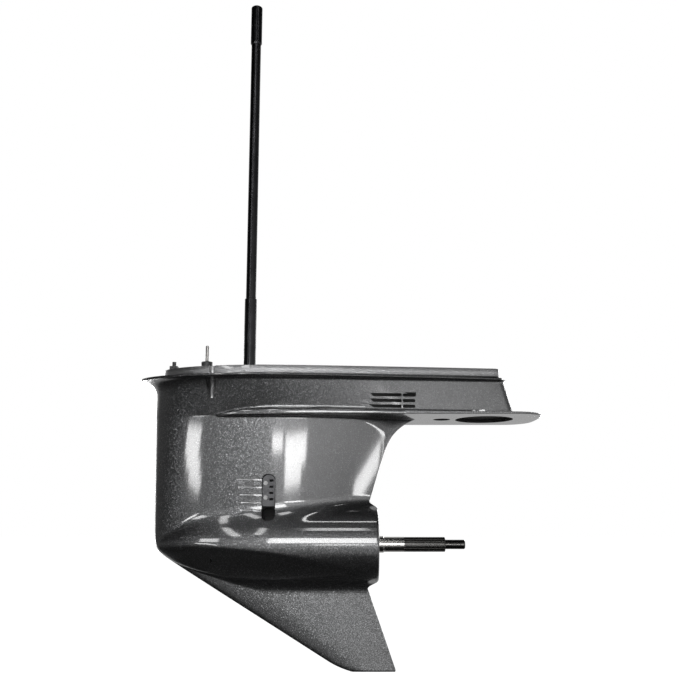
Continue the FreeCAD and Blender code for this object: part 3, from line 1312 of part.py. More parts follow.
def make_propeller_shaft():
    """The propeller shaft: clutch splines, thrust collar, journal, land, splines and thread."""
    collar = S.gear_hub_end + 1
    corners = (
        (-S.shaft_front, ZERO),
        (-S.shaft_front, S.shaft_nose),
        (-S.shaft_spline_half, S.shaft_nose),
        (-S.shaft_spline_half, S.shaft_spline),
        (collar, S.shaft_spline),
        (collar, S.shaft_collar),
        (collar + S.collar_thick, S.shaft_collar),
        (collar + S.collar_thick, S.shaft_spline),
        (S.journal_start, S.shaft_spline),
        (S.journal_start + 1, S.shaft_journal),
        (S.journal_end, S.shaft_journal),
        (S.journal_end + 1.5, S.land_radius),
        (S.land_end, S.land_radius),
        (S.land_end, S.spline_radius),
        (S.spline_end - 1, S.spline_radius),
        (S.spline_end, S.spline_radius - 1),
        (S.spline_end, S.thread_radius),
        (S.thread_end - 1.5, S.thread_radius),
        (S.thread_end, S.thread_radius - 1.5),
        (S.thread_end, ZERO),
    )
    shaft = turned("propeller_shaft", "along", corners)
    half = S.spline_radius * (math.pi / PROPELLER_SPLINES / 2)
    sketch = sketch_on(shaft, "propeller_spline_outline", "YZ_Plane", S.spline_end)
    draw_corners(sketch, (
        (-half, S.spline_root), (-half, S.spline_radius + 2),
        (half, S.spline_radius + 2), (half, S.spline_root),
    ))
    pocket(shaft, "propeller_splines", sketch, S.spline_end - S.land_end, PROPELLER_SPLINES, "X_Axis")
    half = clutch_spline_half
    sketch = sketch_on(shaft, "clutch_spline_outline", "YZ_Plane", S.shaft_spline_half)
    draw_corners(sketch, (
        (-half, S.shaft_spline_root), (-half, S.shaft_spline + 2),
        (half, S.shaft_spline + 2), (half, S.shaft_spline_root),
    ))
    pocket(shaft, "clutch_splines", sketch, S.shaft_spline_half * 2, CLUTCH_SPLINES, "X_Axis")
    sketch = sketch_on(shaft, "link_bore_outline", "YZ_Plane", S.link_bore_end)
    draw_circle(sketch, S.link_radius + S.running_gap, (0, 0))
    pocket(shaft, "link_bore", sketch, S.link_bore_end + S.shaft_front + 1)
    slot = S.shift_travel + S.cross_pin_radius + S.cross_pin_slack
    wide = S.cross_pin_radius + S.cross_pin_slack
    sketch = sketch_on(shaft, "pin_slot_outline", "XY_Plane", S.shaft_spline + 1)
    draw_corners(sketch, ((-slot, -wide), (slot, -wide), (slot, wide), (-slot, wide)))
    pocket(shaft, "pin_slot", sketch, (S.shaft_spline + 1) * 2)


def make_clutch():
    """The sliding clutch with its pin, spring, link and spool."""
    inner = S.shaft_spline_root.value + S.running_gap.value
    half = S.clutch_half.value
    outer = S.jaw_outer.value
    groove = S.spring_half.value
    deep = outer - S.spring_deep.value
    ring_body = turned_shape((
        (-half, inner), (-half, outer), (-groove, outer), (-groove, deep), (groove, deep),
        (groove, outer), (half, outer), (half, inner),
    ))
    jaw_inner = S.clutch_jaw_inner.value
    tall = S.clutch_jaw.value
    jaws = sectors(4, jaw_inner, outer, half - 1, tall + 1, 0)
    jaws += sectors(4, jaw_inner, outer, -half - tall, tall + 1, 0)
    body = ring_body.multiFuse(jaws)
    notches = []
    wide = S.shaft_spline.value * math.pi / CLUTCH_SPLINES - clutch_spline_half.value + 0.35
    for index in range(CLUTCH_SPLINES):
        notch = Part.makeBox(half * 2 + 2, wide * 2, S.shaft_spline.value + S.running_gap.value - inner + 3,
                             Vector(-half - 1, -wide, inner - 3))
        notch.rotate(Vector(), Vector(1, 0, 0), 360 / CLUTCH_SPLINES * (index + 0.5))
        notches.append(notch)
    pin_hole = Part.makeCylinder(S.cross_pin_radius.value, outer * 2, Vector(0, 0, -outer))
    keep("clutch_dog", shaped("clutch_dog", body.cut(Part.makeCompound(notches)).cut(pin_hole),
                              Vector(0, 0, AXIS_Z.value)))

    pin_half = S.jaw_outer - S.spring_deep - S.cross_pin_slack
    pin = cylinder("pin_rod", S.cross_pin_radius, pin_half * 2, (ZERO, ZERO, AXIS_Z - pin_half))
    keep("clutch_cross_pin", pin)
    ring("clutch_spring", "along", S.jaw_outer - S.spring_deep, S.jaw_outer - 0.3,
         -S.spring_half, S.spring_half)

    groove_half = S.crank_pin + S.spool_slack
    spool_front = -S.shift_x - groove_half - S.spool_flange
    spool_aft = -S.shift_x + groove_half + S.spool_flange
    link = turned("shift_link", "along", (
        (-S.link_front, ZERO),
        (-S.link_front, S.link_radius),
        (S.link_aft, S.link_radius),
        (S.link_aft, ZERO),
    ))
    sketch = sketch_on(link, "link_pin_outline", "XY_Plane", S.link_radius + 1)
    draw_circle(sketch, S.cross_pin_radius, (0, 0))
    pocket(link, "link_pin_hole", sketch, (S.link_radius + 1) * 2)
    turned("shift_spool", "along", (
        (spool_front, S.link_radius),
        (spool_front, S.spool_radius),
        (-S.shift_x - groove_half, S.spool_radius),
        (-S.shift_x - groove_half, S.link_radius + 0.2),
        (-S.shift_x + groove_half, S.link_radius + 0.2),
        (-S.shift_x + groove_half, S.spool_radius),
        (spool_aft, S.spool_radius),
        (spool_aft, S.link_radius),
    ))


def make_shift():
    """The shift rod, its crank and its guide in the deck."""
    at = (-S.shift_x, ZERO, ZERO)
    foot = AXIS_Z + S.crank_rise
    turned("shift_rod", "upright", (
        (ZERO, foot),
        (S.rod_radius, foot),
        (S.rod_radius, S.guide_top + 1),
        (S.rod_tip_radius, S.guide_top + 2.5),
        (S.rod_tip_radius, S.rod_top - 0.8),
        (S.rod_tip_radius - 0.8, S.rod_top),
        (ZERO, S.rod_top),
    ), at)
    disc = cylinder("crank_disc", S.crank_radius, S.crank_thick, (-S.shift_x, ZERO, foot))
    eye = cylinder("crank_eye", S.rod_radius, S.crank_thick + 2, (-S.shift_x, ZERO, foot - 1))
    drop = S.crank_rise + 5
    pin = cylinder("crank_pin_rod", S.crank_pin, drop + 1, (-S.shift_x, S.crank_throw, foot - drop))
    plate = cut("crank_plate", disc, eye)
    keep("shift_crank", fuse("shift_crank_whole", [plate, pin]))
    turned("shift_rod_guide", "upright", (
        (S.rod_radius + S.running_gap, -S.guide_depth),
        (S.guide_radius, -S.guide_depth),
        (S.guide_radius, -S.guide_sink),
        (S.guide_flange, -S.guide_sink),
        (S.guide_flange, S.guide_flange_thick),
        (S.guide_hub, S.guide_flange_thick),
        (S.guide_hub, S.guide_top),
        (S.rod_radius + S.running_gap, S.guide_top),
    ), at)


def make_carrier():
    """The bearing carrier with what it holds, and the nut that holds it."""
    front, ball_end = S.carrier_front, carrier_ball_end
    needle_end = S.rear_needle_front + S.rear_needle_long
    seal_front = needle_end + 3
    outer = S.carrier_radius
    cord_front = S.carrier_barrel_end - 20
    cord_end = cord_front + S.ring_cord * 2
    cord_floor = outer - S.ring_cord * 1.6
    race = S.shaft_journal + 5.5
    body = turned("bearing_carrier_barrel", "along", (
        (front, S.ball_outer), (front, outer), (cord_front, outer), (cord_front, cord_floor),
        (cord_end, cord_floor), (cord_end, outer), (S.carrier_barrel_end, outer),
        (S.carrier_barrel_end + 14, S.carrier_neck), (S.carrier_aft - 3, S.carrier_neck),
        (S.carrier_aft, S.carrier_neck - 2), (S.carrier_aft, S.carrier_bore),
        (seal_front - 1, S.carrier_bore), (seal_front - 1, race), (S.rear_needle_front, race),
        (S.rear_needle_front, race - 2), (S.rear_needle_front - 6, race - 2),
        (S.carrier_barrel_end, S.carrier_bore + 1), (ball_end + 8, S.ball_outer - 6),
        (ball_end, S.ball_outer - 6), (ball_end, S.ball_outer),
    ))
    rim = ring("carrier_rim", "along", S.carrier_ring_inner, S.carrier_ring, S.carrier_ring_front,
               S.carrier_aft)
    pieces.pop("bearing_carrier_barrel")
    pieces.pop("carrier_rim")
    ribs = []
    for index in range(2):
        reach = S.carrier_ring_inner + 1
        half = S.carrier_rib
        if index == 0:
            low = (S.carrier_ring_front - 10, -half, AXIS_Z - reach)
            high = (S.carrier_aft - 2, half, AXIS_Z + reach)
        else:
            low = (S.carrier_ring_front - 10, -reach, AXIS_Z - half)
            high = (S.carrier_aft - 2, reach, AXIS_Z + half)
        ribs.append(block(f"carrier_rib_{index + 1}", low, high))
    bore = cylinder("carrier_rib_bore", S.carrier_neck - 1, S.carrier_aft,
                    (S.carrier_ring_front - 20, ZERO, AXIS_Z), ALONG_X)
    spokes = cut("carrier_spokes", fuse("carrier_ribs", ribs), bore)
    keep("bearing_carrier", fuse("bearing_carrier_whole", [body, rim, spokes]))

    ring("carrier_o_ring", "along", cord_floor, outer + S.seat_gap * 0.5, cord_front, cord_end)
    shell = ring("rear_needle_shell", "along", race - 1.5, race, S.rear_needle_front, needle_end)
    pieces.pop("rear_needle_shell")
    needle = (race - 1.5 - S.shaft_journal - S.running_gap * 2) / 2
    circle = S.shaft_journal + S.running_gap + needle
    needles = round_the_shaft("rear_needle", 20, needle, circle, S.rear_needle_front + 1,
                              S.rear_needle_long - 2, "along")
    group("propeller_shaft_needle_bearing", [shell] + needles)
    seals = []
    for index in range(2):
        start = seal_front + (S.seal_thick + 1) * index
        seals.append(ring(f"propeller_seal_{index + 1}", "along", S.shaft_journal + S.running_gap,
                          S.carrier_bore, start, start + S.seal_thick))
        pieces.pop(f"propeller_seal_{index + 1}")
    group("propeller_shaft_oil_seals", seals)

    washer_end = S.carrier_aft + S.tab_washer_thick
    ring("carrier_tab_washer", "along", S.carrier_ring_inner, S.carrier_ring, S.carrier_aft, washer_end)
    nut = ring("carrier_ring_nut", "along", S.carrier_ring_inner, S.ring_nut_radius, washer_end,
               washer_end + S.ring_nut_thick)
    sketch = sketch_on(nut, "ring_nut_notch_outline", "YZ_Plane", washer_end + S.ring_nut_thick)
    draw_corners(sketch, (
        (-3, S.carrier_ring_inner - 2), (-3, S.carrier_ring_inner + 3),
        (3, S.carrier_ring_inner + 3), (3, S.carrier_ring_inner - 2),
    ))
    pocket(nut, "ring_nut_notches", sketch, 5, 8, "X_Axis")


def make_inlets():
    """The water inlet covers and their screws."""
    low = AXIS_Z + S.cover_low
    high = AXIS_Z + S.inlet_high - S.cover_gap
    front = S.inlet_x - S.inlet_half + S.cover_gap
    aft = S.inlet_x + S.inlet_half - S.cover_gap
    screws = []
    for side, sign in (("port", -1), ("starboard", 1)):
        y = S.inlet_floor if sign > 0 else -S.inlet_floor - S.cover_thick
        round_end = S.inlet_half - S.cover_gap
        plate = fuse(f"cover_plate_{side}", [
            block(f"cover_slab_{side}", (front, y, low), (aft, y + S.cover_thick, high - round_end)),
            cylinder(f"cover_head_{side}", round_end, S.cover_thick,
                     (S.inlet_x, y, high - round_end), ALONG_Y),
        ])
        holes = []
        for number, level in enumerate(cover_screw_levels(), start=1):
            start = S.inlet_floor - S.screw_thread if sign > 0 else -S.inlet_floor - S.cover_thick
            at = (S.inlet_x - S.screw_aside, start, level)
            tall = S.cover_thick + S.screw_thread
            holes.append(cylinder(f"cover_hole_{side}_{number}", S.screw_radius, tall, at, ALONG_Y))
            shank = cylinder(f"screw_shank_{side}_{number}", S.screw_radius, tall, at, ALONG_Y)
            cover_face = S.inlet_floor + S.cover_thick
            head_y = cover_face if sign > 0 else -cover_face - S.screw_high
            head = cylinder(f"screw_head_{side}_{number}", S.screw_head, S.screw_high,
                            (S.inlet_x - S.screw_aside, head_y, level), ALONG_Y)
            screws.append(fuse(f"cover_screw_{side}_{number}", [shank, head]))
        slots = []
        for number in range(4):
            level = low + (high - low) * (0.18 + 0.2 * number)
            slots.append(block(f"cover_slot_{side}_{number + 1}", (S.inlet_x + 1, y - 1, level),
                               (aft - 2.5, y + S.cover_thick + 1, level + 4)))
        openings = fuse(f"cover_holes_{side}", holes + slots)
        keep(f"water_inlet_cover_{side}", cut(f"cover_cut_{side}", plate, openings))
    group("inlet_cover_screws", screws)


def make_plugs():
    """Oil drain and level plugs with their gaskets, on the starboard side."""
    rows = (
        ("oil_drain_plug", -S.drain_x, S.drain_seat, AXIS_Z, 6),
        ("oil_level_plug", ZERO, S.level_seat, AXIS_Z + S.level_rise, 10),
    )
    for label, x, seat, z, long in rows:
        head_y = seat + S.plug_gasket_thick
        head = cylinder(label + "_head", S.plug_head, S.plug_head_thick, (x, head_y, z), ALONG_Y)
        thread = cylinder(label + "_thread", S.plug_radius, sized(long) + S.plug_gasket_thick,
                          (x, seat - long, z), ALONG_Y)
        slot = block(label + "_slot", (x - S.plug_head, head_y + S.plug_head_thick - 2, z - 0.8),
                     (x + S.plug_head, head_y + S.plug_head_thick + 1, z + 0.8))
        keep(label, cut(label + "_cut", fuse(label + "_whole", [head, thread]), slot))
        outer = cylinder(label + "_gasket_outer", S.plug_head - 0.5, S.plug_gasket_thick,
                         (x, seat, z), ALONG_Y)
        inner = cylinder(label + "_gasket_inner", S.plug_radius, S.plug_gasket_thick + 2,
                         (x, seat - 1, z), ALONG_Y)
        keep(label.replace("_plug", "_gasket"), cut(label + "_gasket_cut", outer, inner))


def make_deck_fittings():
    """Dowels, and the water pick-up fitting at the front of the deck."""
    dowels = []
    for name, x in (("front", -S.dowel_front), ("rear", S.dowel_aft)):
        dowels.append(cylinder(f"dowel_{name}", S.dowel_radius, S.dowel_up + S.dowel_down,
                               (x, ZERO, -S.dowel_down)))
    group("deck_dowels", dowels)
    foot = block("pitot_foot", (-S.pitot_x - S.pitot_half, -S.pitot_half, -S.pitot_sink),
                 (-S.pitot_x + S.pitot_half, S.pitot_half, S.pitot_high))
    barb = cylinder("pitot_barb", S.pitot_half * 0.5, S.pitot_half * 1.3,
                    (-S.pitot_x, ZERO, S.pitot_high - 1))
    keep("pitot_fitting", fuse("pitot_fitting_whole", [foot, barb]))


def write_steps():
    """Checks every object, then writes one file for each sub-part."""
    doc.recompute()
    for thing in doc.Objects:
        if "Invalid" in thing.State or "Error" in thing.State:
            raise RuntimeError(f"{thing.Name} failed: {thing.State}")
    for label, thing in pieces.items():
        if thing.Shape.isNull() or not thing.Shape.isValid():
            raise RuntimeError(f"{label} has no valid shape")
    os.makedirs("parts", exist_ok=True)
    for label, thing in pieces.items():
        thing.Shape.exportStep(f"parts/{label}.step")
        print(f"{label:32s} {len(thing.Shape.Solids):3d} solids {thing.Shape.Volume / 1000:9.2f} cm3")
    print(len(pieces), "nodes")


make_casing()
make_drive_shaft()
make_drive_bearings()
make_pump()
make_driven_gears()
make_propeller_shaft()
make_clutch()
make_shift()
make_carrier()
make_inlets()
make_plugs()
make_deck_fittings()
write_steps()
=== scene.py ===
# %% [markdown]
# # The lower unit of an outboard motor
#
# A lower unit is one big aluminium casting. A slim strut carries a torpedo with the gears in it, a skeg
# guards it from below, and a flat plate above the strut keeps air away from the propeller. Shafts, covers
# and screws are fitted to it. The CAD model already holds all of them at their real size. This script gives
# the casting its flowing surface and its sparkling paint, and gives every other piece the finish of its
# metal or plastic.
#
# Shapes are worked out in millimetres, as on a drawing, and become metres when they go into a mesh.

import json
import math

import bpy
import numpy as np
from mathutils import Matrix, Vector

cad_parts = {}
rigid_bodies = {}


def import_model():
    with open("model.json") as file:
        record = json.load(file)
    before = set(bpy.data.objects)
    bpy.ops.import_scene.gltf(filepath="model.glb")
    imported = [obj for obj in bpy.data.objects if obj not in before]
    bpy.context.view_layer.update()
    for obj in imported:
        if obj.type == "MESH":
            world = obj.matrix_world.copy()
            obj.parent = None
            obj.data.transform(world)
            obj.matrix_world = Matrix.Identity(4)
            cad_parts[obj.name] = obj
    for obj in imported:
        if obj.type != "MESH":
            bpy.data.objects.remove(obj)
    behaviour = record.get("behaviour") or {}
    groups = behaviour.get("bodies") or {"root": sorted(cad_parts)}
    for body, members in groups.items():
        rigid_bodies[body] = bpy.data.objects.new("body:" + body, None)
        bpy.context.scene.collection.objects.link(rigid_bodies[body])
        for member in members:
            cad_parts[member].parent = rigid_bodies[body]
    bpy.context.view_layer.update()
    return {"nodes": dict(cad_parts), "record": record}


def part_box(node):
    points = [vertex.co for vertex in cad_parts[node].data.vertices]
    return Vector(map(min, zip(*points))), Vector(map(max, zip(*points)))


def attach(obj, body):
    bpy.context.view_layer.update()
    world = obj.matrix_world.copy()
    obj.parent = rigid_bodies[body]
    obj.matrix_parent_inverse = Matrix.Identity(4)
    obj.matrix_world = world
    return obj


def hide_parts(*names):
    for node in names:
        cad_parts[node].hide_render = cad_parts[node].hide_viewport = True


MM = 0.001
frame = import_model()


def node_box(node):
    """The lowest and highest corner of a CAD node, in millimetres."""
    low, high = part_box(node)
    return np.array(low) / MM, np.array(high) / MM


casing_low, casing_high = node_box("gearcase_housing")
shaft_low, shaft_high = node_box("propeller_shaft")
AXIS = (shaft_low[2] + shaft_high[2]) / 2
print(f"casing from {casing_low.round(1)} to {casing_high.round(1)}, propeller axis at {AXIS:.1f}")

# %% [markdown]
# ## From numbers to a mesh
#
# Every new surface here is a grid of points. One helper turns a grid into faces, and another closes half a
# shape: it mirrors the port side to starboard and bridges the two sides at the top and at the foot. Working
# on half a shape keeps the two sides equal, as a foundry pattern does.


# %% Grids become faces
def grid_faces(rows, columns, closed=True):
    """Four-cornered faces between neighbouring rows and columns.

    A closed grid joins its last column to its first one."""
    row, column = np.meshgrid(np.arange(rows - 1), np.arange(columns - (not closed)), indexing="ij")
    first = row * columns + column
    second = row * columns + (column + 1) % columns
    return np.stack([first, second, second + columns, first + columns], axis=-1).reshape(-1, 4)


def new_mesh(name, points, faces):
    """A mesh of points in millimetres, kept as metres, and faces given as lists of corners."""
    mesh = bpy.data.meshes.new(name)
    mesh.from_pydata((points.reshape(-1, 3) * MM).tolist(), [], faces)
    mesh.update()
    piece = bpy.data.objects.new(name, mesh)
    bpy.context.scene.collection.objects.link(piece)
    return piece


def mirrored_loft(name, half):
    """A closed shape from its port half.

    half[row, column] runs upwards by row, and by column from the front edge to the rear edge. Both edges lie
    on the centreline. Starboard is the mirror image, and strips from side to side close foot and top."""
    rows, columns, _ = half.shape
    starboard = half[:, -2:0:-1] * (1, -1, 1)
    loop = np.concatenate([half, starboard], axis=1)
    around = loop.shape[1]
    faces = grid_faces(rows, around).tolist()
    inner = np.arange(1, columns - 2)
    foot = np.stack([inner, around - inner, around - inner - 1, inner + 1], axis=-1)
    top = foot[:, ::-1] + (rows - 1) * around
    faces += foot.tolist() + top.tolist()
    last = columns - 1
    corners = np.array([(0, around - 1, 1), (last, last - 1, around - last + 1)])
    faces += corners.tolist() + (corners[:, ::-1] + (rows - 1) * around).tolist()
    return new_mesh(name, loop, faces)


# %% [markdown]
# A cast edge is never quite sharp, and a rounding needs more rows of points than a flat wall does. So
# levels are placed closer together where a shape turns. Nearly all roundings below are made of three
# curves: an even S, a quarter circle, and a minimum that is soft where two values are nearly equal.

# %% Levels and soft curves
SPACING_SAMPLES = 2000
LEAST_REACH = 0.001


def spaced(start, end, step_at):
    """Levels from start to end whose spacing at each place is what step_at says there."""
    fine = np.linspace(start, end, SPACING_SAMPLES)
    counted = np.concatenate([[0], np.cumsum(np.diff(fine) / step_at((fine[1:] + fine[:-1]) / 2))])
    return np.interp(np.linspace(0, counted[-1], int(counted[-1]) + 1), counted, fine)


def smooth_step(value, start, end):
    """0 before start, 1 after end, and an even S between them."""
    share = np.clip((value - start) / (end - start), 0, 1)
    return share * share * (3 - 2 * share)


def bulge(share):
    """The height of a quarter circle: 0 at share 0, level at share 1."""
    return np.sqrt(np.clip(1 - (1 - np.clip(share, 0, 1)) ** 2, 0, 1))


def join(first, second, reach):
    """The smaller of two distances, lowered by up to a quarter of the reach where they are nearly equal."""
    reach = np.maximum(reach, LEAST_REACH)
    share = np.clip(0.5 + 0.5 * (second - first) / reach, 0, 1)
    return second + (first - second) * share - reach * share * (1 - share)


# %% [markdown]
# ## Strut, torpedo and skeg
#
# A caster would carve these three from one block of wood and run a rounded scraper along each inner corner.
# Here each of the three is a distance: how far a point lies outside it. The smallest of the distances is the
# whole body, and where two of them are nearly equal it is lowered a little, which makes the fillet. For each
# place in the side view the half breadth where that distance is zero is then found by halving an interval.
# That way was chosen because one smooth skin with true fillets is left, with no seam for a highlight to
# break on.

# %% Levels above the propeller axis
PLATE = 217.0
DECK = casing_high[2] - AXIS
FOOT = casing_low[2] - AXIS
NOSE = -158.0
print(f"foot at {FOOT:.1f}, plate at {PLATE:.1f} and deck at {DECK:.1f} from the propeller axis")

# %% [markdown]
# The strut is a thick wing that stands upright in the water. It could be a box pulled into shape by hand,
# but its section is of the same kind at every height. So two formulas say all of it: where its edges are,
# and how wide it is between them.

# %% The strut
STRUT_LEAN = 5.4
STRUT_WIDEST = 35.0
STRUT_HALF = (39.0, 60.0)
STRUT_WIDENS = 1.15
STRUT_TAIL = 192.1
STRUT_RAKE = 0.3056
STRUT_TAIL_HALF = 2.5
STRUT_FALL = 1.8
STRUT_FALL_END = 1.4
STRUT_FLARE = 38.9
FLARE_POWER = 12.2
WEB_BLEND = 0.9


def strut_edges(rise):
    """The front edge leans forward evenly. The rear edge rakes aft and flares out under the plate."""
    share = np.clip(rise / PLATE, 0, 1)
    front = NOSE - STRUT_LEAN * share
    rear = STRUT_TAIL + STRUT_RAKE * PLATE * share + STRUT_FLARE * share ** FLARE_POWER
    return front, rear


def strut_half(x, rise):
    """Half an ellipse from the front edge to the widest place, then a falling power curve to the rear edge.

    Where that edge flares out under the plate, the curve runs out into a web of the edge's own thickness."""
    front, flared = strut_edges(rise)
    share = np.clip(rise / PLATE, 0, 1)
    rear = STRUT_TAIL + STRUT_RAKE * PLATE * share
    half = STRUT_HALF[0] + (STRUT_HALF[1] - STRUT_HALF[0]) * share ** STRUT_WIDENS
    fore = half * bulge((x - front) / (STRUT_WIDEST - front))
    fall = np.clip((x - STRUT_WIDEST) / (rear - STRUT_WIDEST), 0, STRUT_FALL_END) ** STRUT_FALL
    aft = half + (STRUT_TAIL_HALF - half) * fall
    web = -join(-aft, -np.full_like(aft, STRUT_TAIL_HALF), WEB_BLEND * (flared - rear))
    return np.where(x < STRUT_WIDEST, fore, web)


print(f"strut {2 * STRUT_HALF[0]:.0f} wide at the torpedo and {2 * STRUT_HALF[1]:.0f} at the plate")

# %% [markdown]
# The torpedo holds the gears and the propeller shaft, so it is round. A lathe could turn it from its
# outline, and the formula is that outline: the radius at each place along the shaft.

# %% The torpedo
TORPEDO = 65.0
TORPEDO_FULL = 85.0
TORPEDO_AFT = 229.0
TORPEDO_CORNER = 4.0
TORPEDO_BLUNT = 1.2


def torpedo_radius(x):
    """A quarter circle's height to a power for the blunt nose, a cylinder, and a rounded rear corner."""
    nose = TORPEDO * bulge((x - NOSE) / (TORPEDO_FULL - NOSE)) ** TORPEDO_BLUNT
    turn = np.clip(x - TORPEDO_AFT + TORPEDO_CORNER, 0, TORPEDO_CORNER)
    return nose - TORPEDO_CORNER + np.sqrt(TORPEDO_CORNER ** 2 - turn ** 2)


print(f"torpedo {2 * TORPEDO:.0f} across and {TORPEDO_AFT - NOSE:.0f} long")

# %% [markdown]
# The skeg is the fin that meets the ground first. It is thick and blunt in front and thin behind, like a
# knife that is pulled through the water. Its outline is straight apart from the bend to the level foot.

# %% The skeg
SKEG_SLOPE = 1.649
SKEG_BEND = (138.0, -189.5)
SKEG_FOOT_FRONT = 183.5
SKEG_FOOT_AFT = 258.0
SKEG_TAIL_SLOPE = 0.3485
# The rear corner's height, and how far it is set in at the foot
SKEG_CORNER = (4.5, 2)
SKEG_HALF = (9.0, 3.0)
SKEG_THICKEST = 0.33
SKEG_THINS = (0.3, 1.05)
SKEG_THINNING = 0.62


def skeg_edges(depth):
    """Two straight edges. The front one bends to the level foot along a cubic curve.

    The rear one has a small corner at the foot."""
    bend_x, bend_rise = SKEG_BEND
    past = np.clip((depth + bend_rise) / (-FOOT + bend_rise), 0, 1)
    straight = bend_x - SKEG_SLOPE * (-bend_rise - depth)
    reach = SKEG_FOOT_FRONT - bend_x - SKEG_SLOPE * (-FOOT + bend_rise)
    corner_rise, corner_cut = SKEG_CORNER
    corner = np.clip((depth + FOOT + corner_rise) / corner_rise, 0, 1)
    rear = SKEG_FOOT_AFT - SKEG_TAIL_SLOPE * (-FOOT - depth) - corner_cut * corner ** 2
    return straight + reach * past ** 3, rear


def skeg_half(x, depth):
    """Rounded in front, thickest at a third of its length, thinner to the rear and to the foot."""
    front, rear = skeg_edges(depth)
    share = np.clip((x - front) / (rear - front), 0, 1)
    half = SKEG_HALF[0] + (SKEG_HALF[1] - SKEG_HALF[0]) * np.clip(depth / -FOOT, 0, 1)
    return half * bulge(share / SKEG_THICKEST) * (1 - SKEG_THINNING * smooth_step(share, *SKEG_THINS))


print(f"skeg {2 * SKEG_HALF[0]:.0f} thick at the torpedo and {2 * SKEG_HALF[1]:.0f} at its foot")

# %% [markdown]
# Seen from the side, the front edge follows the strut's nose and then the skeg, and the rear edge steps
# out to the torpedo's flat rear face. The grid's columns run between these two edges, so they are needed
# before any point can be placed.

# %% The outline of the side view
FRONT_ROUNDING = 180
TORPEDO_SIDE = 60
REAR_SWING = 15


def outline(rise):
    """Front and rear edge of the lower casting at each height above the propeller axis.

    The front follows whichever of nose and skeg lies further aft, rounded where they meet. The rear follows
    strut and skeg, and swings out to the torpedo's flat rear face between them along half a cosine wave."""
    strut_front, strut_rear = strut_edges(rise)
    skeg_front, skeg_rear = skeg_edges(np.maximum(-rise, 0) - np.maximum(rise, 0))
    apart = strut_front - skeg_front
    front = (strut_front + skeg_front + np.sqrt(apart ** 2 + FRONT_ROUNDING)) / 2
    rear = np.where(rise > 0, strut_rear, skeg_rear)
    away = np.clip((np.abs(rise) - TORPEDO_SIDE) / REAR_SWING, 0, 1)
    swing = 0.5 + 0.5 * np.cos(np.pi * away)
    return front, rear + (TORPEDO_AFT - rear) * swing


# %% [markdown]
# The plate's fin starts beside the strut, so the strut has to know how far the fin stands out: there is a
# fillet under the plate only where there is a plate.

# %% The plate from above
FIN_NOSE = -52.0
FIN_FULL = 213.0
FIN_ROOT = 52.2
PLATE_HALF = 85.0


def plate_half(x):
    """The side fin starts at the strut and swells along a quarter ellipse to the plate's half breadth."""
    swell = FIN_ROOT + (PLATE_HALF - FIN_ROOT) * bulge((x - FIN_NOSE) / (FIN_FULL - FIN_NOSE))
    return np.where(x < FIN_NOSE, 0, swell)


# %% [markdown]
# Now the three distances are joined and the half breadth is found. A sculptor would smooth the joints by
# feel. Halving an interval thirty times finds them to a millionth of a millimetre, at all places of the
# grid at once.

# %% One skin for strut, torpedo and skeg
FILLET = 19.0
FILLET_GROWS = 90
PLATE_FILLET = 4.0
PLATE_GAP = 0.1
INTO_PLATE = 1.8
LOWER_STEP = (0.85, 2.6)
TURNS_AT = 64
TURN_REACH = (6, 30)
LOWER_COLUMNS = 164
CROWDING = 0.9
SURELY_OUTSIDE = 120
HALVINGS = 30
# The front edge's radius low down, how much it grows, and the heights between which it grows
EDGE_RADIUS = (3, 40)
EDGE_GROWS = (-60, 110)
WEB_HALF = 1.4
WEB_ROUND = 1.2
SHARP_FOOT = 0.4
FOOT_ROUND = 3
TAIL_LAP = 0.3


def lower_step(rise):
    """Fine levels at the torpedo's top and foot, under the plate and at the skeg's foot."""
    near = np.minimum(np.abs(np.abs(rise) - TURNS_AT), np.minimum(PLATE - rise, rise - FOOT))
    return LOWER_STEP[0] + LOWER_STEP[1] * smooth_step(near, *TURN_REACH)


def outside_by(x, rise):
    """A function of the breadth y: how far a point is outside the joined strut, torpedo, skeg and plate."""
    reach = FILLET * smooth_step(x - outline(rise)[0], 0, FILLET_GROWS)
    shelf = np.clip((plate_half(x) - strut_half(x, PLATE)) * 0.5, 0, PLATE_FILLET)
    under = np.minimum(rise, PLATE - PLATE_GAP)
    above, below = np.maximum(under, 0), np.maximum(-under, 0)
    strut_side, torpedo_side, skeg_side = strut_half(x, above), torpedo_radius(x), skeg_half(x, below)

    def distance(y):
        strut = np.hypot(y, np.minimum(under, 0)) - strut_side
        torpedo = np.hypot(y, under) - torpedo_side
        skeg = np.hypot(y, above) - skeg_side
        hull = join(join(strut, torpedo, reach), skeg, reach)
        return join(hull, PLATE - under, shelf)

    return distance


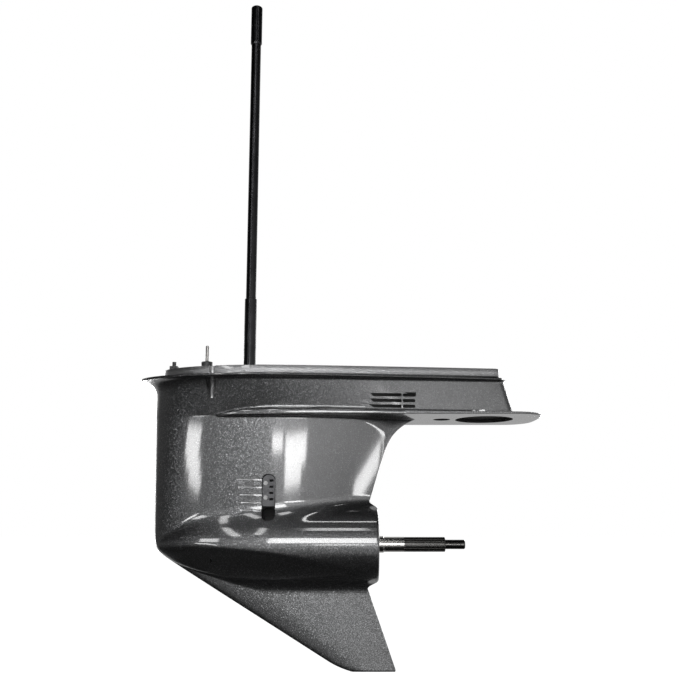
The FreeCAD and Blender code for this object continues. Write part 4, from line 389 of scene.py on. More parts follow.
def lower_half():
    """The port half of the lower casting as a grid of points, by height and by share of the length there.

    The half breadth is where the joined distance is zero. The front edge is rounded to a parabola, the rear
    edge thins to a round web except at the torpedo, and the foot's edge is rounded under."""
    rise = np.append(spaced(FOOT, PLATE - PLATE_GAP, lower_step), PLATE + INTO_PLATE)[:, None]
    even = np.linspace(0, 1, LOWER_COLUMNS)
    share = even - CROWDING * np.sin(2 * np.pi * even) / (2 * np.pi)
    front, rear = outline(rise)
    x = front + share * (rear - front)
    distance = outside_by(x, rise)
    low, high = np.zeros_like(x), np.full_like(x, SURELY_OUTSIDE)
    for _ in range(HALVINGS):
        y = (low + high) / 2
        outside = distance(y) > 0
        low, high = np.where(outside, low, y), np.where(outside, y, high)
    edge_radius = EDGE_RADIUS[0] + EDGE_RADIUS[1] * smooth_step(rise, *EDGE_GROWS)
    y = np.minimum((low + high) / 2, np.sqrt(2 * edge_radius * (x - front)))
    web = WEB_HALF + np.sqrt(2 * WEB_ROUND * np.clip(rear - x, 0, WEB_ROUND))
    thinned = np.minimum(y, np.maximum(web, y * (rear - x > WEB_ROUND)))
    y = np.where(np.abs(rise) < TORPEDO_SIDE, y, thinned)
    y = y * (SHARP_FOOT + (1 - SHARP_FOOT) * bulge((rise - FOOT) / FOOT_ROUND))
    half = np.stack([x, -y, np.broadcast_to(rise + AXIS, x.shape)], axis=-1)
    end = half[:, -1:].copy() * (1, 0, 1) + (TAIL_LAP, 0, 0)
    return np.concatenate([half, end], axis=1)


lower = mirrored_loft("casing_lower", lower_half())
print(f"strut, torpedo and skeg: {len(lower.data.vertices)} points")

# %% [markdown]
# ## Upper body, lip and deck
#
# Above the plate the casting swells into a body that carries the deck, with a thin lip all round. All of it
# has the same kind of outline, seen from above: an ellipse in front, a slow curve aft, rounded corners and a
# slanting rear face. So it is one loft. Each row has its height, its own outline and how far it is set off
# from that outline, which gives the fillets at its foot and under the lip.

# %% The outline seen from above
FORE_POINTS, AFT_POINTS, CORNER_POINTS, FACE_POINTS = 72, 90, 9, 7
REAR_BOW = 0.25
DECK_FALL = 1.2
DECK_CORNER = 12


def deck_outline(nose, half, tail, tail_half, fall, corner):
    """Port half of an outline from above: x and the half breadth, from the front edge to the rear edge.

    A quarter ellipse to the widest place, a power curve aft, an arc round the corner, and a rear face that
    bows out by a quarter of a millimetre. Each size may be a column, one value for each row."""
    turn = np.linspace(0, np.pi / 2, FORE_POINTS)
    fore_x = STRUT_WIDEST - (STRUT_WIDEST - nose) * np.cos(turn)
    fore_y = half * np.sin(turn)
    share = np.linspace(0, 1, AFT_POINTS)[1:]
    aft_x = STRUT_WIDEST + (tail - corner - STRUT_WIDEST) * share
    aft_y = half + (tail_half - half) * share ** fall
    turn = np.linspace(0, np.pi / 2, CORNER_POINTS)[1:]
    round_x = tail - corner + corner * np.sin(turn)
    round_y = tail_half - corner + corner * np.cos(turn)
    face = np.linspace(1, 0, FACE_POINTS)[1:]
    face_x = tail + REAR_BOW * (1 - face ** 2)
    face_y = (tail_half - corner) * face
    rows = np.broadcast(nose, half, tail, tail_half).shape[0]
    parts = [(fore_x, fore_y), (aft_x, aft_y), (round_x, round_y), (face_x, face_y)]
    x = np.concatenate([np.broadcast_to(part, (rows, part.shape[-1])) for part, _ in parts], axis=1)
    y = np.concatenate([np.broadcast_to(part, (rows, part.shape[-1])) for _, part in parts], axis=1)
    return x, -y


def set_off(x, y, distance):
    """Moves an outline outwards by a distance. Outwards is the way along it, turned a quarter right."""
    along_x, along_y = np.gradient(x, axis=1), np.gradient(y, axis=1)
    along_y[:, [0, -1]] *= (1, -1)
    long = np.hypot(along_x, along_y)
    out_x, out_y = along_y / long, -along_x / long
    out_x[:, 0], out_y[:, 0], out_x[:, -1], out_y[:, -1] = -1, 0, 1, 0
    return x + out_x * distance, y + out_y * distance


# %% [markdown]
# The body's wall meets the plate and the lip in fillets, which stop a crack from starting there. They
# could be bevels made afterwards, but the fillet at the foot grows along its edge. Here the rows near a
# corner are set off by what a quarter circle leaves free.

# %% The body's wall
BODY_NOSE = -163.9
# How far the nose sweeps forward up to the lip, and the power of that curve
BODY_SWEEP = (24, 8.5)
BODY_HALF = (60.5, 84.0)
# Where the rear face starts at the plate, and how it slants with the height
BODY_TAIL = (470.3, -0.281)
BODY_TAIL_HALF = 33.0
BODY_FOOT = PLATE + 0.8
BODY_STEP = (0.9, 2.6)
BODY_TURN = (14, 24)
LIP_LOW = DECK - 21.0
LIP_FILLET = 6.0
FOOT_FILLET = (2, 7)
FOOT_FILLET_GROWS = 110
FOOT_FILLET_STARTS = 40
FIN_THICK = 9.4
FIN_SWELLS = 75
THICK_AT = ((FIN_NOSE, 120, FIN_FULL, 400, 515), (FIN_THICK, FIN_THICK, 7.0, 4.5, 3.5))


def plate_thick(x):
    """The fin's nose swells from a sharp edge. Aft of it the plate gets thinner evenly."""
    return np.interp(x, *THICK_AT) * bulge((x - FIN_NOSE) / FIN_SWELLS)


def hollow(distance, radius):
    """How far a concave fillet stands out at a distance from its corner: the whole radius, then nothing."""
    radius = np.maximum(radius, LEAST_REACH)
    share = np.clip(distance / radius, 0, 1)
    return radius * (1 - bulge(share))


def body_step(rise):
    """Fine levels at the body's foot and under the lip, coarse ones between them."""
    near = np.minimum(rise - BODY_FOOT, LIP_LOW - rise)
    return BODY_STEP[0] + BODY_STEP[1] * smooth_step(near, *BODY_TURN)


def body_rows():
    """The body's rows, from just inside the plate to the lip's underside.

    The half breadth grows evenly with the height, and the nose sweeps forward along a power curve."""
    rise = spaced(BODY_FOOT, LIP_LOW, body_step)[:, None]
    share = (rise - PLATE) / (LIP_LOW - PLATE)
    nose = BODY_NOSE - BODY_SWEEP[0] * share ** BODY_SWEEP[1]
    half = BODY_HALF[0] + (BODY_HALF[1] - BODY_HALF[0]) * share
    tail = BODY_TAIL[0] + BODY_TAIL[1] * (rise - PLATE)
    x, y = deck_outline(nose, half, tail, np.full_like(rise, BODY_TAIL_HALF), DECK_FALL, DECK_CORNER)
    fillet = FOOT_FILLET[0] + FOOT_FILLET[1] * smooth_step(x, FIN_NOSE, FIN_NOSE + FOOT_FILLET_GROWS)
    fillet = fillet * smooth_step(x, FIN_NOSE, FIN_NOSE + FOOT_FILLET_STARTS)
    off = hollow(rise - PLATE - plate_thick(x), fillet)
    off = off + hollow(LIP_LOW - rise, np.full_like(x, LIP_FILLET))
    x, y = set_off(x, y, off)
    return x, y, np.broadcast_to(rise, x.shape)


# %% [markdown]
# The lip is a thin edge that the leg's cover rests on, and the rim above it is milled flat for the leg. Both
# have small rounded edges, so each is a few rows: a height, and how far the row is set in.

# %% The lip and the rim
LIP_NOSE = casing_low[0]
LIP_HALF = casing_high[1]
LIP_TAIL = 451.5
LIP_TAIL_HALF = 34.0
LIP_HIGH = DECK - 16.5
RIM_NOSE = -152.0
RIM_HALF = 72.0
RIM_TAIL = 446.0
RIM_TAIL_HALF = 32.0
LIP_STEPS = ((LIP_LOW, 1.6), (LIP_LOW + 0.4, 0.6), (LIP_LOW + 1.3, 0), (LIP_HIGH - 1.3, 0),
             (LIP_HIGH - 0.4, 0.5), (LIP_HIGH, 1.5))
RIM_STEPS = ((LIP_HIGH, -2.5), (LIP_HIGH + 0.5, -1.2), (LIP_HIGH + 1.4, -0.3), (LIP_HIGH + 3, 0),
             (DECK - 8, 0), (DECK - 1.2, 0), (DECK - 0.4, 0.35), (DECK, 1.2))


def edge_rows(nose, half, tail, tail_half, steps):
    """Rows round a rounded edge: each step is a height and how far it is set in from the outline."""
    rise = np.array([step[0] for step in steps])[:, None]
    inset = np.array([step[1] for step in steps])[:, None]
    same = np.ones_like(rise)
    x, y = deck_outline(nose * same, half * same, tail * same, tail_half * same, DECK_FALL, DECK_CORNER)
    x, y = set_off(x, y, -inset)
    return x, y, np.broadcast_to(rise, x.shape)


def upper_half():
    """The port half of the upper body: the body's rows, then the lip's edge, then the rim up to the deck."""
    lip = edge_rows(LIP_NOSE, LIP_HALF, LIP_TAIL, LIP_TAIL_HALF, LIP_STEPS)
    rim = edge_rows(RIM_NOSE, RIM_HALF, RIM_TAIL, RIM_TAIL_HALF, RIM_STEPS)
    x, y, rise = (np.concatenate(part) for part in zip(body_rows(), lip, rim))
    return np.stack([x, y, rise + AXIS], axis=-1)


upper = mirrored_loft("casing_upper", upper_half())
print(f"upper body: {len(upper.data.vertices)} points")

# %% [markdown]
# ## The anti-ventilation plate
#
# The plate is a flat slab with a rounded edge that grows out of the strut as a thin fin. It could be cut
# from a sheet and bevelled, but its thickness changes along it. So its rows go round the edge from its
# underside to its top, each at a share of the thickness there, and its columns go round its outline.

# %% The plate
PLATE_CORNER = 48.0
PLATE_BOW = 2
PLATE_AFT = casing_high[0] - PLATE_BOW
FIN_POINTS, SIDE_POINTS, ROUND_POINTS, REAR_POINTS = 60, 40, 24, 8
ROOT_INSIDE = ((-6.0, 0), (-5.0, 20), (-3.0, 40), (-1.0, 50))
EDGE_STEPS = ((0, 2.2), (0, 1.2), (0.05, 0.5), (0.16, 0.05), (0.5, 0), (0.84, 0.05), (0.95, 0.5), (1, 1.2),
              (1, 2.2))
THINNEST = 0.4
FULL_EDGE = 4


def plate_outline():
    """Port half of the plate from above: inside the strut, along the fin, round the corner, along the rear.

    The fin is a quarter ellipse, the corner a quarter circle, and the rear edge bows out like a parabola."""
    turn = np.linspace(0, np.pi / 2, FIN_POINTS)
    fin_x = FIN_NOSE + (FIN_FULL - FIN_NOSE) * (1 - np.cos(turn))
    fin_y = FIN_ROOT + (PLATE_HALF - FIN_ROOT) * np.sin(turn)
    side_x = np.linspace(FIN_FULL, PLATE_AFT - PLATE_CORNER, SIDE_POINTS)[1:]
    side_y = np.full_like(side_x, PLATE_HALF)
    turn = np.linspace(0, np.pi / 2, ROUND_POINTS)[1:]
    round_x = PLATE_AFT - PLATE_CORNER + PLATE_CORNER * np.sin(turn)
    round_y = PLATE_HALF - PLATE_CORNER + PLATE_CORNER * np.cos(turn)
    rear = np.linspace(1, 0, REAR_POINTS)[1:]
    rear_x = PLATE_AFT + PLATE_BOW * (1 - rear ** 2)
    rear_y = (PLATE_HALF - PLATE_CORNER) * rear
    inner = np.array(ROOT_INSIDE)
    x = np.concatenate([FIN_NOSE + inner[:, 0], fin_x, side_x, round_x, rear_x])
    y = np.concatenate([inner[:, 1], fin_y, side_y, round_y, rear_y])
    return x[None], -y[None]


def plate_rows():
    """Rows round the plate's edge. Each one is a share of the thickness and how far it is set in."""
    steps = np.array(EDGE_STEPS)
    x, y = plate_outline()
    thick = np.maximum(plate_thick(x), THINNEST)
    gentle = np.minimum(1, thick / FULL_EDGE)
    x, y = np.repeat(x, len(steps), axis=0), np.repeat(y, len(steps), axis=0)
    x, y = set_off(x, y, -steps[:, 1:] * gentle)
    rise = PLATE + steps[:, :1] * thick
    return np.stack([x, y, rise + AXIS], axis=-1)


plate = mirrored_loft("casing_plate", plate_rows())
print(f"plate: {len(plate.data.vertices)} points")

# %% [markdown]
# ## Joining and machining
#
# The three shapes become one casting with boolean unions, and then the pockets and bores are cut from it. A
# machine shop cuts them one after another. Here the cutting shapes are gathered first, because a cut in the
# fine casting takes a second each time, and one cut with all of them gives the same result.


# %% Shapes that cut
def combine(target, tool, operation):
    """Adds or cuts one closed shape and applies it at once. The tool is thrown away."""
    modifier = target.modifiers.new(tool.name, "BOOLEAN")
    modifier.operation = operation
    modifier.solver = "MANIFOLD"
    modifier.object = tool
    bpy.context.view_layer.objects.active = target
    bpy.ops.object.modifier_apply(modifier=modifier.name)
    bpy.data.objects.remove(tool)


def turned(name, profile, centre, axis="z", sides=96):
    """A closed turned shape.

    The profile gives (distance along the axis, radius). Both of its ends are closed with a flat face."""
    profile = np.array(profile, float)
    angle = np.linspace(0, 2 * np.pi, sides, endpoint=False)
    along = np.repeat(profile[:, :1], sides, axis=1)
    one, two = profile[:, 1:] * np.cos(angle), profile[:, 1:] * np.sin(angle)
    order = {"z": (one, two, along), "x": (along, one, two)}[axis]
    points = np.stack(order, axis=-1) + np.array(centre, float)
    faces = grid_faces(len(profile), sides).tolist()
    faces += [list(range(sides))[::-1], list(range((len(profile) - 1) * sides, len(profile) * sides))]
    return new_mesh(name, points, faces)


def prism(name, low_outline, high_outline, low, high):
    """A closed upright prism between two outlines seen from above, which may differ in size."""
    rings = [np.column_stack([ring, np.full(len(ring), level)])
             for ring, level in ((low_outline, low), (high_outline, high))]
    count = len(low_outline)
    faces = grid_faces(2, count).tolist() + [list(range(count))[::-1], list(range(count, 2 * count))]
    return new_mesh(name, np.concatenate(rings), faces)


def rounded(corners, radius):
    """An outline with its corners rounded: each one becomes an arc that touches both its sides.

    The arc swings from the first touching point to the second, each weighed by the sine of its angle."""
    corners = np.array(corners, float)
    before, after = np.roll(corners, 1, axis=0), np.roll(corners, -1, axis=0)
    to_before = (before - corners) / np.linalg.norm(before - corners, axis=1)[:, None]
    to_after = (after - corners) / np.linalg.norm(after - corners, axis=1)[:, None]
    half_angle = np.arccos(np.clip((to_before * to_after).sum(axis=1), -1, 1)) / 2
    tangent = (radius / np.tan(half_angle))[:, None]
    middle = to_before + to_after
    middle /= np.linalg.norm(middle, axis=1)[:, None]
    centre = corners + middle * (radius / np.sin(half_angle))[:, None]
    start, end = corners + to_before * tangent - centre, corners + to_after * tangent - centre
    sweep = (np.pi - 2 * half_angle)[:, None, None]
    share = np.linspace(0, 1, 9)[None, :, None]
    arc = np.sin((1 - share) * sweep) * start[:, None] + np.sin(share * sweep) * end[:, None]
    return (centre[:, None] + arc / np.sin(sweep)).reshape(-1, 2)


def upended(piece, side):
    """Turns an upright prism so that its height points out to one side, -1 for port."""
    points = np.empty(len(piece.data.vertices) * 3)
    piece.data.vertices.foreach_get("co", points)
    x, z, out = points.reshape(-1, 3).T
    piece.data.vertices.foreach_set("co", np.column_stack([x, out * side, z]).ravel())
    if side > 0:
        piece.data.flip_normals()
    return piece


# %% [markdown]
# The plate is too thin for the trim tab's seat, so a round boss stands on it there. The boss goes into the
# union with the rest, and the seat is cut into both from below.

# %% Join the castings
# The trim tab's place, radius and depth, and its boss's radius and top
TAB = (420.0, 51.0, 6.5)
TAB_BOSS = (57.0, 227.5)
LAP = 1
under = PLATE + AXIS
boss_profile = ((under + LAP, TAB_BOSS[0]), (TAB_BOSS[1] + AXIS, TAB_BOSS[0]))
boss = turned("tab_boss", boss_profile, (TAB[0], 0, 0))
casing = upper
casing.name = "gearcase_casting"
for part in (plate, boss, lower):
    combine(casing, part, "UNION")
print(f"casting: {len(casing.data.polygons)} faces")

# %% [markdown]
# The water pump stands in a round well in the deck, and behind it exhaust comes down from the leg into a
# chamber and on through a duct in the strut. A foundry makes such hollows with sand cores. A cutting shape
# for each is the same thing here.

# %% Openings in the deck
ABOVE = 5.0
WELL_RADIUS = 56.0
WELL_FLOOR = -62.0
EXHAUST = ((74, -42), (316, -30), (316, 30), (74, 42))
EXHAUST_CORNER = 12
EXHAUST_FLOOR = -74.0
DUCT = ((102, -20), (160, -9), (160, 9), (102, 20))
DUCT_CORNER = 6
DUCT_FLOOR = -259.0
chamber = rounded(EXHAUST, EXHAUST_CORNER)
duct = rounded(DUCT, DUCT_CORNER)
tools = [
    turned("pump_well", ((WELL_FLOOR, WELL_RADIUS), (ABOVE, WELL_RADIUS)), (0, 0, 0)),
    prism("exhaust_chamber", chamber, chamber, EXHAUST_FLOOR, ABOVE),
    prism("exhaust_duct", duct, duct, DUCT_FLOOR, EXHAUST_FLOOR + LAP),
]
print(f"well {-WELL_FLOOR:.0f} deep, exhaust chamber {-EXHAUST_FLOOR:.0f} deep")

# %% [markdown]
# The bearing carrier slides into the torpedo from behind. Its bore follows the CAD model's boxes of carrier
# and washer, so that each seat is as wide as what sits in it, and it opens with a chamfer that guides the
# carrier in.

# %% Bore of the torpedo
_, carrier_high = node_box("bearing_carrier")
_, washer_high = node_box("carrier_tab_washer")
BORE_FRONT = 96
EXHAUST_BORE = 54.0
CARRIER_SEAT = 12
SEAT_CLEARANCE = 0.05
NUT_CLEARANCE = 2.05
# How far ahead of the rear face the chamfer starts, and how far past the carrier it opens
CHAMFER = (1.2, 5)
seat_front = carrier_high[0] - CARRIER_SEAT
seat_radius = carrier_high[1] + SEAT_CLEARANCE
nut_radius = carrier_high[1] + NUT_CLEARANCE
bore = ((BORE_FRONT, EXHAUST_BORE), (seat_front, EXHAUST_BORE), (seat_front, seat_radius),
        (washer_high[0], seat_radius), (washer_high[0], nut_radius), (TORPEDO_AFT - CHAMFER[0], nut_radius),
        (TORPEDO_AFT + 2 * LAP, carrier_high[1] + CHAMFER[1]))
tools.append(turned("rear_bore", bore, (0, 0, AXIS), "x"))
print(f"carrier seat {2 * seat_radius:.1f} across")

# %% [markdown]
# Six bolts hold the lower unit to the leg. Each one goes in from below through a pocket in the body's side,
# which leaves room for a socket. The pocket is a blunt cone, narrow at its foot, as a casting's pocket is.

# %% Bolt holes and the pockets under them
# Place along the casting, distance from its middle and depth of pocket
BOLTS = ((-58, 62, 36), (75, 62, 29), (203.5, 48, 20))
BOLT_RADIUS = 5.5
# A pocket's radius at the lip and at its tip
POCKET = (12.5, 2.5)
POCKET_ASIDE = 5
POCKET_CHAMFER = (1, 1.5)
POCKET_LAP = 0.1
for x, aside, depth in BOLTS:
    for side in (-1, 1):
        low = LIP_LOW + AXIS
        tip = ((low - depth, POCKET[1]), (low - depth + POCKET_CHAMFER[0], POCKET[1] + POCKET_CHAMFER[1]),
               (low + POCKET_LAP, POCKET[0]))
        tools.append(turned("bolt_pocket", tip, (x, side * (aside + POCKET_ASIDE), 0), sides=40))
        hole = ((low - depth, BOLT_RADIUS), (ABOVE, BOLT_RADIUS))
        tools.append(turned("bolt_hole", hole, (x, side * aside, 0), sides=32))
print(f"{2 * len(BOLTS)} bolt holes")

# %% [markdown]
# Two more bolts stand on the centreline behind the strut. A wide hole in the plate lets a socket reach the
# first one, and the trim tab covers the second one and sits in a round seat.

# %% Holes in the plate
# The access hole's place, radius and roof
ACCESS = (344.5, 15.0, -30.0)
tab_seat = ((under - LAP, TAB[1]), (under + TAB[2], TAB[1]))
tools.append(turned("tab_seat", tab_seat, (TAB[0], 0, 0)))
access = ((under - LAP, ACCESS[1]), (ACCESS[2], ACCESS[1]))
tools.append(turned("access_hole", access, (ACCESS[0], 0, 0), sides=48))
centre_bolt = ((under + LAP, BOLT_RADIUS), (ABOVE, BOLT_RADIUS))
for x in (ACCESS[0], TAB[0]):
    tools.append(turned("centre_bolt", centre_bolt, (x, 0, 0), sides=32))
print(f"tab seat {2 * TAB[1]:.0f} across, access hole {2 * ACCESS[1]:.0f} across")

# %% [markdown]
# ## Slots and water inlets
#
# Each side has three exhaust relief slots in the body, and a water inlet in the strut with five scoops
# that lead water to it. They are cut from the side. A slot is deep behind and ramps out to nothing in
# front, so it takes two shapes: a window with round ends, and a ramp whose floor is shorter than its
# mouth.

# %% Side slots
SLOT_RISE = 244.0
SLOT_PITCH = 9.6
SLOT_HALF = 2.75
SLOT_ENDS = (213.0, 294.0)
SLOT_WALL = 270.0
SLOT_FLOOR = 43.5
SLOT_MOUTH = 60
SLOT_RADIUS = 2.6
SLOT_OUTSIDE = 56.0
SLOT_LEAN = 2.4
RAMP_FOOT = 262
RAMP_RADIUS = 0.6
WINDOW_LAP = 2


def side_pocket(name, side, floor, mouth, floor_x, mouth_x, middle, half, radius):
    """A pocket in the casting's side. Its outline in the side view grows from its floor to its mouth."""
    outlines = []
    for front, aft in (floor_x, mouth_x):
        low, high = middle + AXIS - half, middle + AXIS + half
        outlines.append(rounded(((front, low), (aft, low), (aft, high), (front, high)), radius))
    return upended(prism(name, *outlines, floor, mouth), side)


def side_slots(side):
    """Three slots above each other. Each ramp reaches the leaning wall at the same distance from the nose.

    The ramp's mouth lies outside the wall, so its front end is carried on in a straight line from its foot
    through that point."""
    made = []
    window = (SLOT_WALL + WINDOW_LAP, SLOT_ENDS[1])
    for step in (-1, 0, 1):
        rise = SLOT_RISE + step * SLOT_PITCH
        wall = SLOT_OUTSIDE + SLOT_LEAN * step
        front = RAMP_FOOT - (RAMP_FOOT - SLOT_ENDS[0]) * (SLOT_MOUTH - SLOT_FLOOR) / (wall - SLOT_FLOOR)
        made.append(side_pocket("slot_window", side, SLOT_FLOOR, SLOT_MOUTH, window, window, rise, SLOT_HALF,
                                SLOT_RADIUS))
        made.append(side_pocket("slot_ramp", side, SLOT_FLOOR, SLOT_MOUTH, (RAMP_FOOT, SLOT_WALL),
                                (front, SLOT_WALL), rise, SLOT_HALF, RAMP_RADIUS))
    return made


# %% [markdown]
# Cooling water comes in behind a screwed cover on each side. The cover lies in a shallow pocket, a throat
# leads inwards behind it, and the scoops are grooves that get deeper towards the cover.

# %% Water inlets and their scoops
COVER_X = 41.5
INLET_HALF = 11.5
INLET_RISE = (39.0, 118.0)
INLET_FLOOR = 36.0
INLET_MOUTH = 70
INLET_RADIUS = 10
THROAT_RISE = 51.0
THROAT_HALF = 11
THROAT_FLOOR = 16.0
THROAT_RADIUS = 9
SCOOPS = 5
SCOOP_RISE = 57.0
SCOOP_PITCH = 13
SCOOP_HALF = 1.6
SCOOP_RADIUS = 1.2
SCOOP_FOOT = (14, 31)
SCOOP_MOUTH = (-24, 31)
SCOOP_OUTSIDE = 52


def water_inlet(side):
    """A pocket for the cover, a throat behind it and a column of scoops ahead of it."""
    ends = (COVER_X - INLET_HALF, COVER_X + INLET_HALF)
    middle, half = sum(INLET_RISE) / 2, (INLET_RISE[1] - INLET_RISE[0]) / 2
    made = [
        side_pocket("inlet_pocket", side, INLET_FLOOR, INLET_MOUTH, ends, ends, middle, half, INLET_RADIUS),
        side_pocket("inlet_throat", side, THROAT_FLOOR, INLET_FLOOR + LAP, ends, ends, THROAT_RISE,
                    THROAT_HALF, THROAT_RADIUS),
    ]
    for number in range(SCOOPS):
        rise = SCOOP_RISE + SCOOP_PITCH * number
        made.append(side_pocket("scoop", side, INLET_FLOOR, SCOOP_OUTSIDE, SCOOP_FOOT, SCOOP_MOUTH, rise,
                                SCOOP_HALF, SCOOP_RADIUS))
    return made


for side in (-1, 1):
    tools += side_slots(side) + water_inlet(side)
print(f"{len(tools)} cutting shapes")

# %% [markdown]
# The cutting shapes overlap each other, as a pocket and its bolt hole do. They are joined to one shape, so
# that the fine casting is cut only once.

# %% Cut them all at once
everything = tools[0]
for tool in tools[1:]:
    combine(everything, tool, "UNION")
combine(casing, everything, "DIFFERENCE")
print(f"{len(tools)} shapes cut, {len(casing.data.polygons)} faces")

# %% [markdown]
# The skin of a casting is smooth and its machined edges are crisp. Smooth shading is broken only where two
# faces meet at a clear angle, which keeps both without any more geometry.

# %% Smooth faces with crisp machined edges
CRISP_ANGLE = 32


def shade(piece, degrees):
    """Smooth shading, broken where faces meet at more than the angle."""
    mesh = piece.data
    mesh.polygons.foreach_set("use_smooth", np.ones(len(mesh.polygons), bool))
    mesh.set_sharp_from_angle(angle=math.radians(degrees))
    mesh.update()


shade(casing, CRISP_ANGLE)
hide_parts("gearcase_housing")
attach(casing, "casing")
print("the new casting stands in for gearcase_housing")

# %% [markdown]
# ## Sums in a shader
#
# Node trees are easier to read as formulas. The class below wraps one output of a node, so that adding or
# multiplying two of them adds a Math node.


# %% Shader maths as Python expressions
class Signal:
    """One output of a node tree, on which sums, products and powers are written with Python's own signs."""

    def __init__(self, board, socket):
        self.board = board
        self.socket = socket

    def __add__(self, other):
        return self.board.math("ADD", self, other)

    __radd__ = __add__

    def __sub__(self, other):
        return self.board.math("SUBTRACT", self, other)

    def __rsub__(self, other):
        return self.board.math("SUBTRACT", other, self)

    def __mul__(self, other):
        return self.board.math("MULTIPLY", self, other)

    def __pow__(self, other):
        return self.board.math("POWER", self, other)


class Board:
    """A node tree, and one method that makes any node in it."""

    def __init__(self, tree):
        self.tree = tree

    def node(self, kind, settings=None, sockets=None, output=0):
        """Makes a node: its settings first, a ramp's stops among them, then its sockets' values or links."""
        made = self.tree.nodes.new(kind)
        for key, value in (settings or {}).items():
            if key == "stops":
                self.set_stops(made.color_ramp, value)
            else:
                setattr(made, key, value)
        for key, value in (sockets or {}).items():
            self.connect(made.inputs[key], value)
        return Signal(self, made.outputs[output])

    def set_stops(self, ramp, stops):
        """Gives a ramp its grey stops, each one a place and a level."""
        for index, (place, level) in enumerate(stops):
            stop = ramp.elements[index] if index < len(ramp.elements) else ramp.elements.new(place)
            stop.position = place
            stop.color = (level, level, level, 1)

    def connect(self, socket, value):
        """Links a signal to a socket, or sets the socket to a plain value."""
        if isinstance(value, Signal):
            self.tree.links.new(value.socket, socket)
        elif socket.type == "RGBA" and len(value) == 3:
            socket.default_value = (*value, 1)
        else:
            socket.default_value = value

    def math(self, operation, first, second):
        return self.node("ShaderNodeMath", {"operation": operation}, {0: first, 1: second})

    def vector(self, operation, first, second=None, scale=None):
        """A Vector Math node. Its scale has a socket of its own."""
        sockets = {0: first}
        if second is not None:
            sockets[1] = second
        if scale is not None:
            sockets["Scale"] = scale
        return self.node("ShaderNodeVectorMath", {"operation": operation}, sockets)

    def axis(self, vector, name):
        """One of a vector's three numbers, by its letter."""
        return self.node("ShaderNodeSeparateXYZ", {}, {0: vector}, name)

    def ramp(self, value, stops):
        """A level that runs in straight lines between stops of (place, level)."""
        return self.node("ShaderNodeValToRGB", {"stops": stops}, {"Fac": value}, "Color")

    def remap(self, value, low, high, to_low, to_high):
        """Stretches the range from low to high onto another range, in a straight line."""
        return self.node("ShaderNodeMapRange", {}, {"Value": value, "From Min": low, "From Max": high,
                                                    "To Min": to_low, "To Max": to_high}, "Result")

    def between(self, value, low, high):
        """1 where the value lies between two limits, and 0 elsewhere."""
        return self.math("GREATER_THAN", value, low) * self.math("LESS_THAN", value, high)

    def mix(self, share, first, second):
        """A colour between two colours."""
        made = self.node("ShaderNodeMix", {"data_type": "RGBA"}, {}, 2)
        inputs = made.socket.node.inputs
        self.connect(inputs[0], share)
        self.connect(inputs[6], first)
        self.connect(inputs[7], second)
        return made


class Finish(Board):
    """A material with a Principled shader, and the patterns that its finishes are made of."""

    def __init__(self, name):
        self.material = bpy.data.materials.new(name)
        self.material.use_nodes = True
        super().__init__(self.material.node_tree)
        self.shader = self.tree.nodes["Principled BSDF"]

    def place(self):
        """The point's place on the object, in metres."""
        return self.node("ShaderNodeTexCoord", output="Object")

    def noise(self, scale, detail=2.0, roughness=0.5, stretch=None):
        """Clouds of a given scale, which may be stretched along the axes into grain."""
        where = self.place()
        if stretch:
            where = self.node("ShaderNodeMapping", {}, {"Vector": where, "Scale": stretch})
        return self.node("ShaderNodeTexNoise", {}, {"Vector": where, "Scale": scale, "Detail": detail,
                                                   "Roughness": roughness}, "Fac")

    def bump(self, height, strength, distance):
        """Relief: a normal that leans as the height rises and falls."""
        sockets = {"Height": height, "Strength": strength, "Distance": distance}
        return self.node("ShaderNodeBump", {}, sockets, "Normal")

    def set(self, **sockets):
        """Sets sockets of the Principled shader. A name's underscores stand for spaces."""
        for key, value in sockets.items():
            self.connect(self.shader.inputs[key.replace("_", " ")], value)


# %% [markdown]
# ## The paint
#
# Outboard paint is a dark base coat with tiny aluminium flakes under a clear coat. Deep pockets get painted
# shade: a near-black colour without metal or coat, because shade falls there and little is mirrored. These
# could be a second material, but then every cut face would have to be picked out. A few limits on the place
# of a point find the same faces.

# %% Where shade is painted into the openings
NO_LIMIT = -1.0
INLET_DARK_X, INLET_DARK_Z, INLET_DARK_DEPTH = (0.029, 0.0545), (-0.27, -0.184), 0.0435
SLOT_DARK_X, SLOT_DARK_Z = (0.21, 0.2955), (-0.0745, -0.0455)
WALL_ALONG, WALL_RISE, WALL_DEPTH = 0.083, 0.22, 0.086
PLATE_FACE = -0.0868
TAB_ROOF, ACCESS_ROOF = -0.08, -0.029
HOLE_EDGE = 0.0001


def recesses(paint):
    """1 in the deep openings of the casting, where shade is painted in, and 0 on its outside.

    The inlets are boxes with a limit of depth, the slots are boxes behind the leaning wall, and the holes in
    the plate are circles between the plate's face and their own roof."""
    x, y, z = (paint.axis(paint.place(), name) for name in "XYZ")
    depth = paint.math("ABSOLUTE", y, 0.0)
    inlet = paint.between(x, *INLET_DARK_X) * paint.between(z, *INLET_DARK_Z)
    inlet = inlet * paint.between(depth, NO_LIMIT, INLET_DARK_DEPTH)
    behind = paint.between(depth + x * WALL_ALONG - z * WALL_RISE, NO_LIMIT, WALL_DEPTH)
    slots = paint.between(x, *SLOT_DARK_X) * paint.between(z, *SLOT_DARK_Z) * behind
    shade = inlet + slots
    for (middle, radius, _), roof in ((TAB, TAB_ROOF), (ACCESS, ACCESS_ROOF)):
        reach = (x - middle * MM) ** 2 + y ** 2
        hole = paint.between(reach, NO_LIMIT, (radius * MM + HOLE_EDGE) ** 2)
        shade = shade + hole * paint.between(z, PLATE_FACE, roof)
    return shade
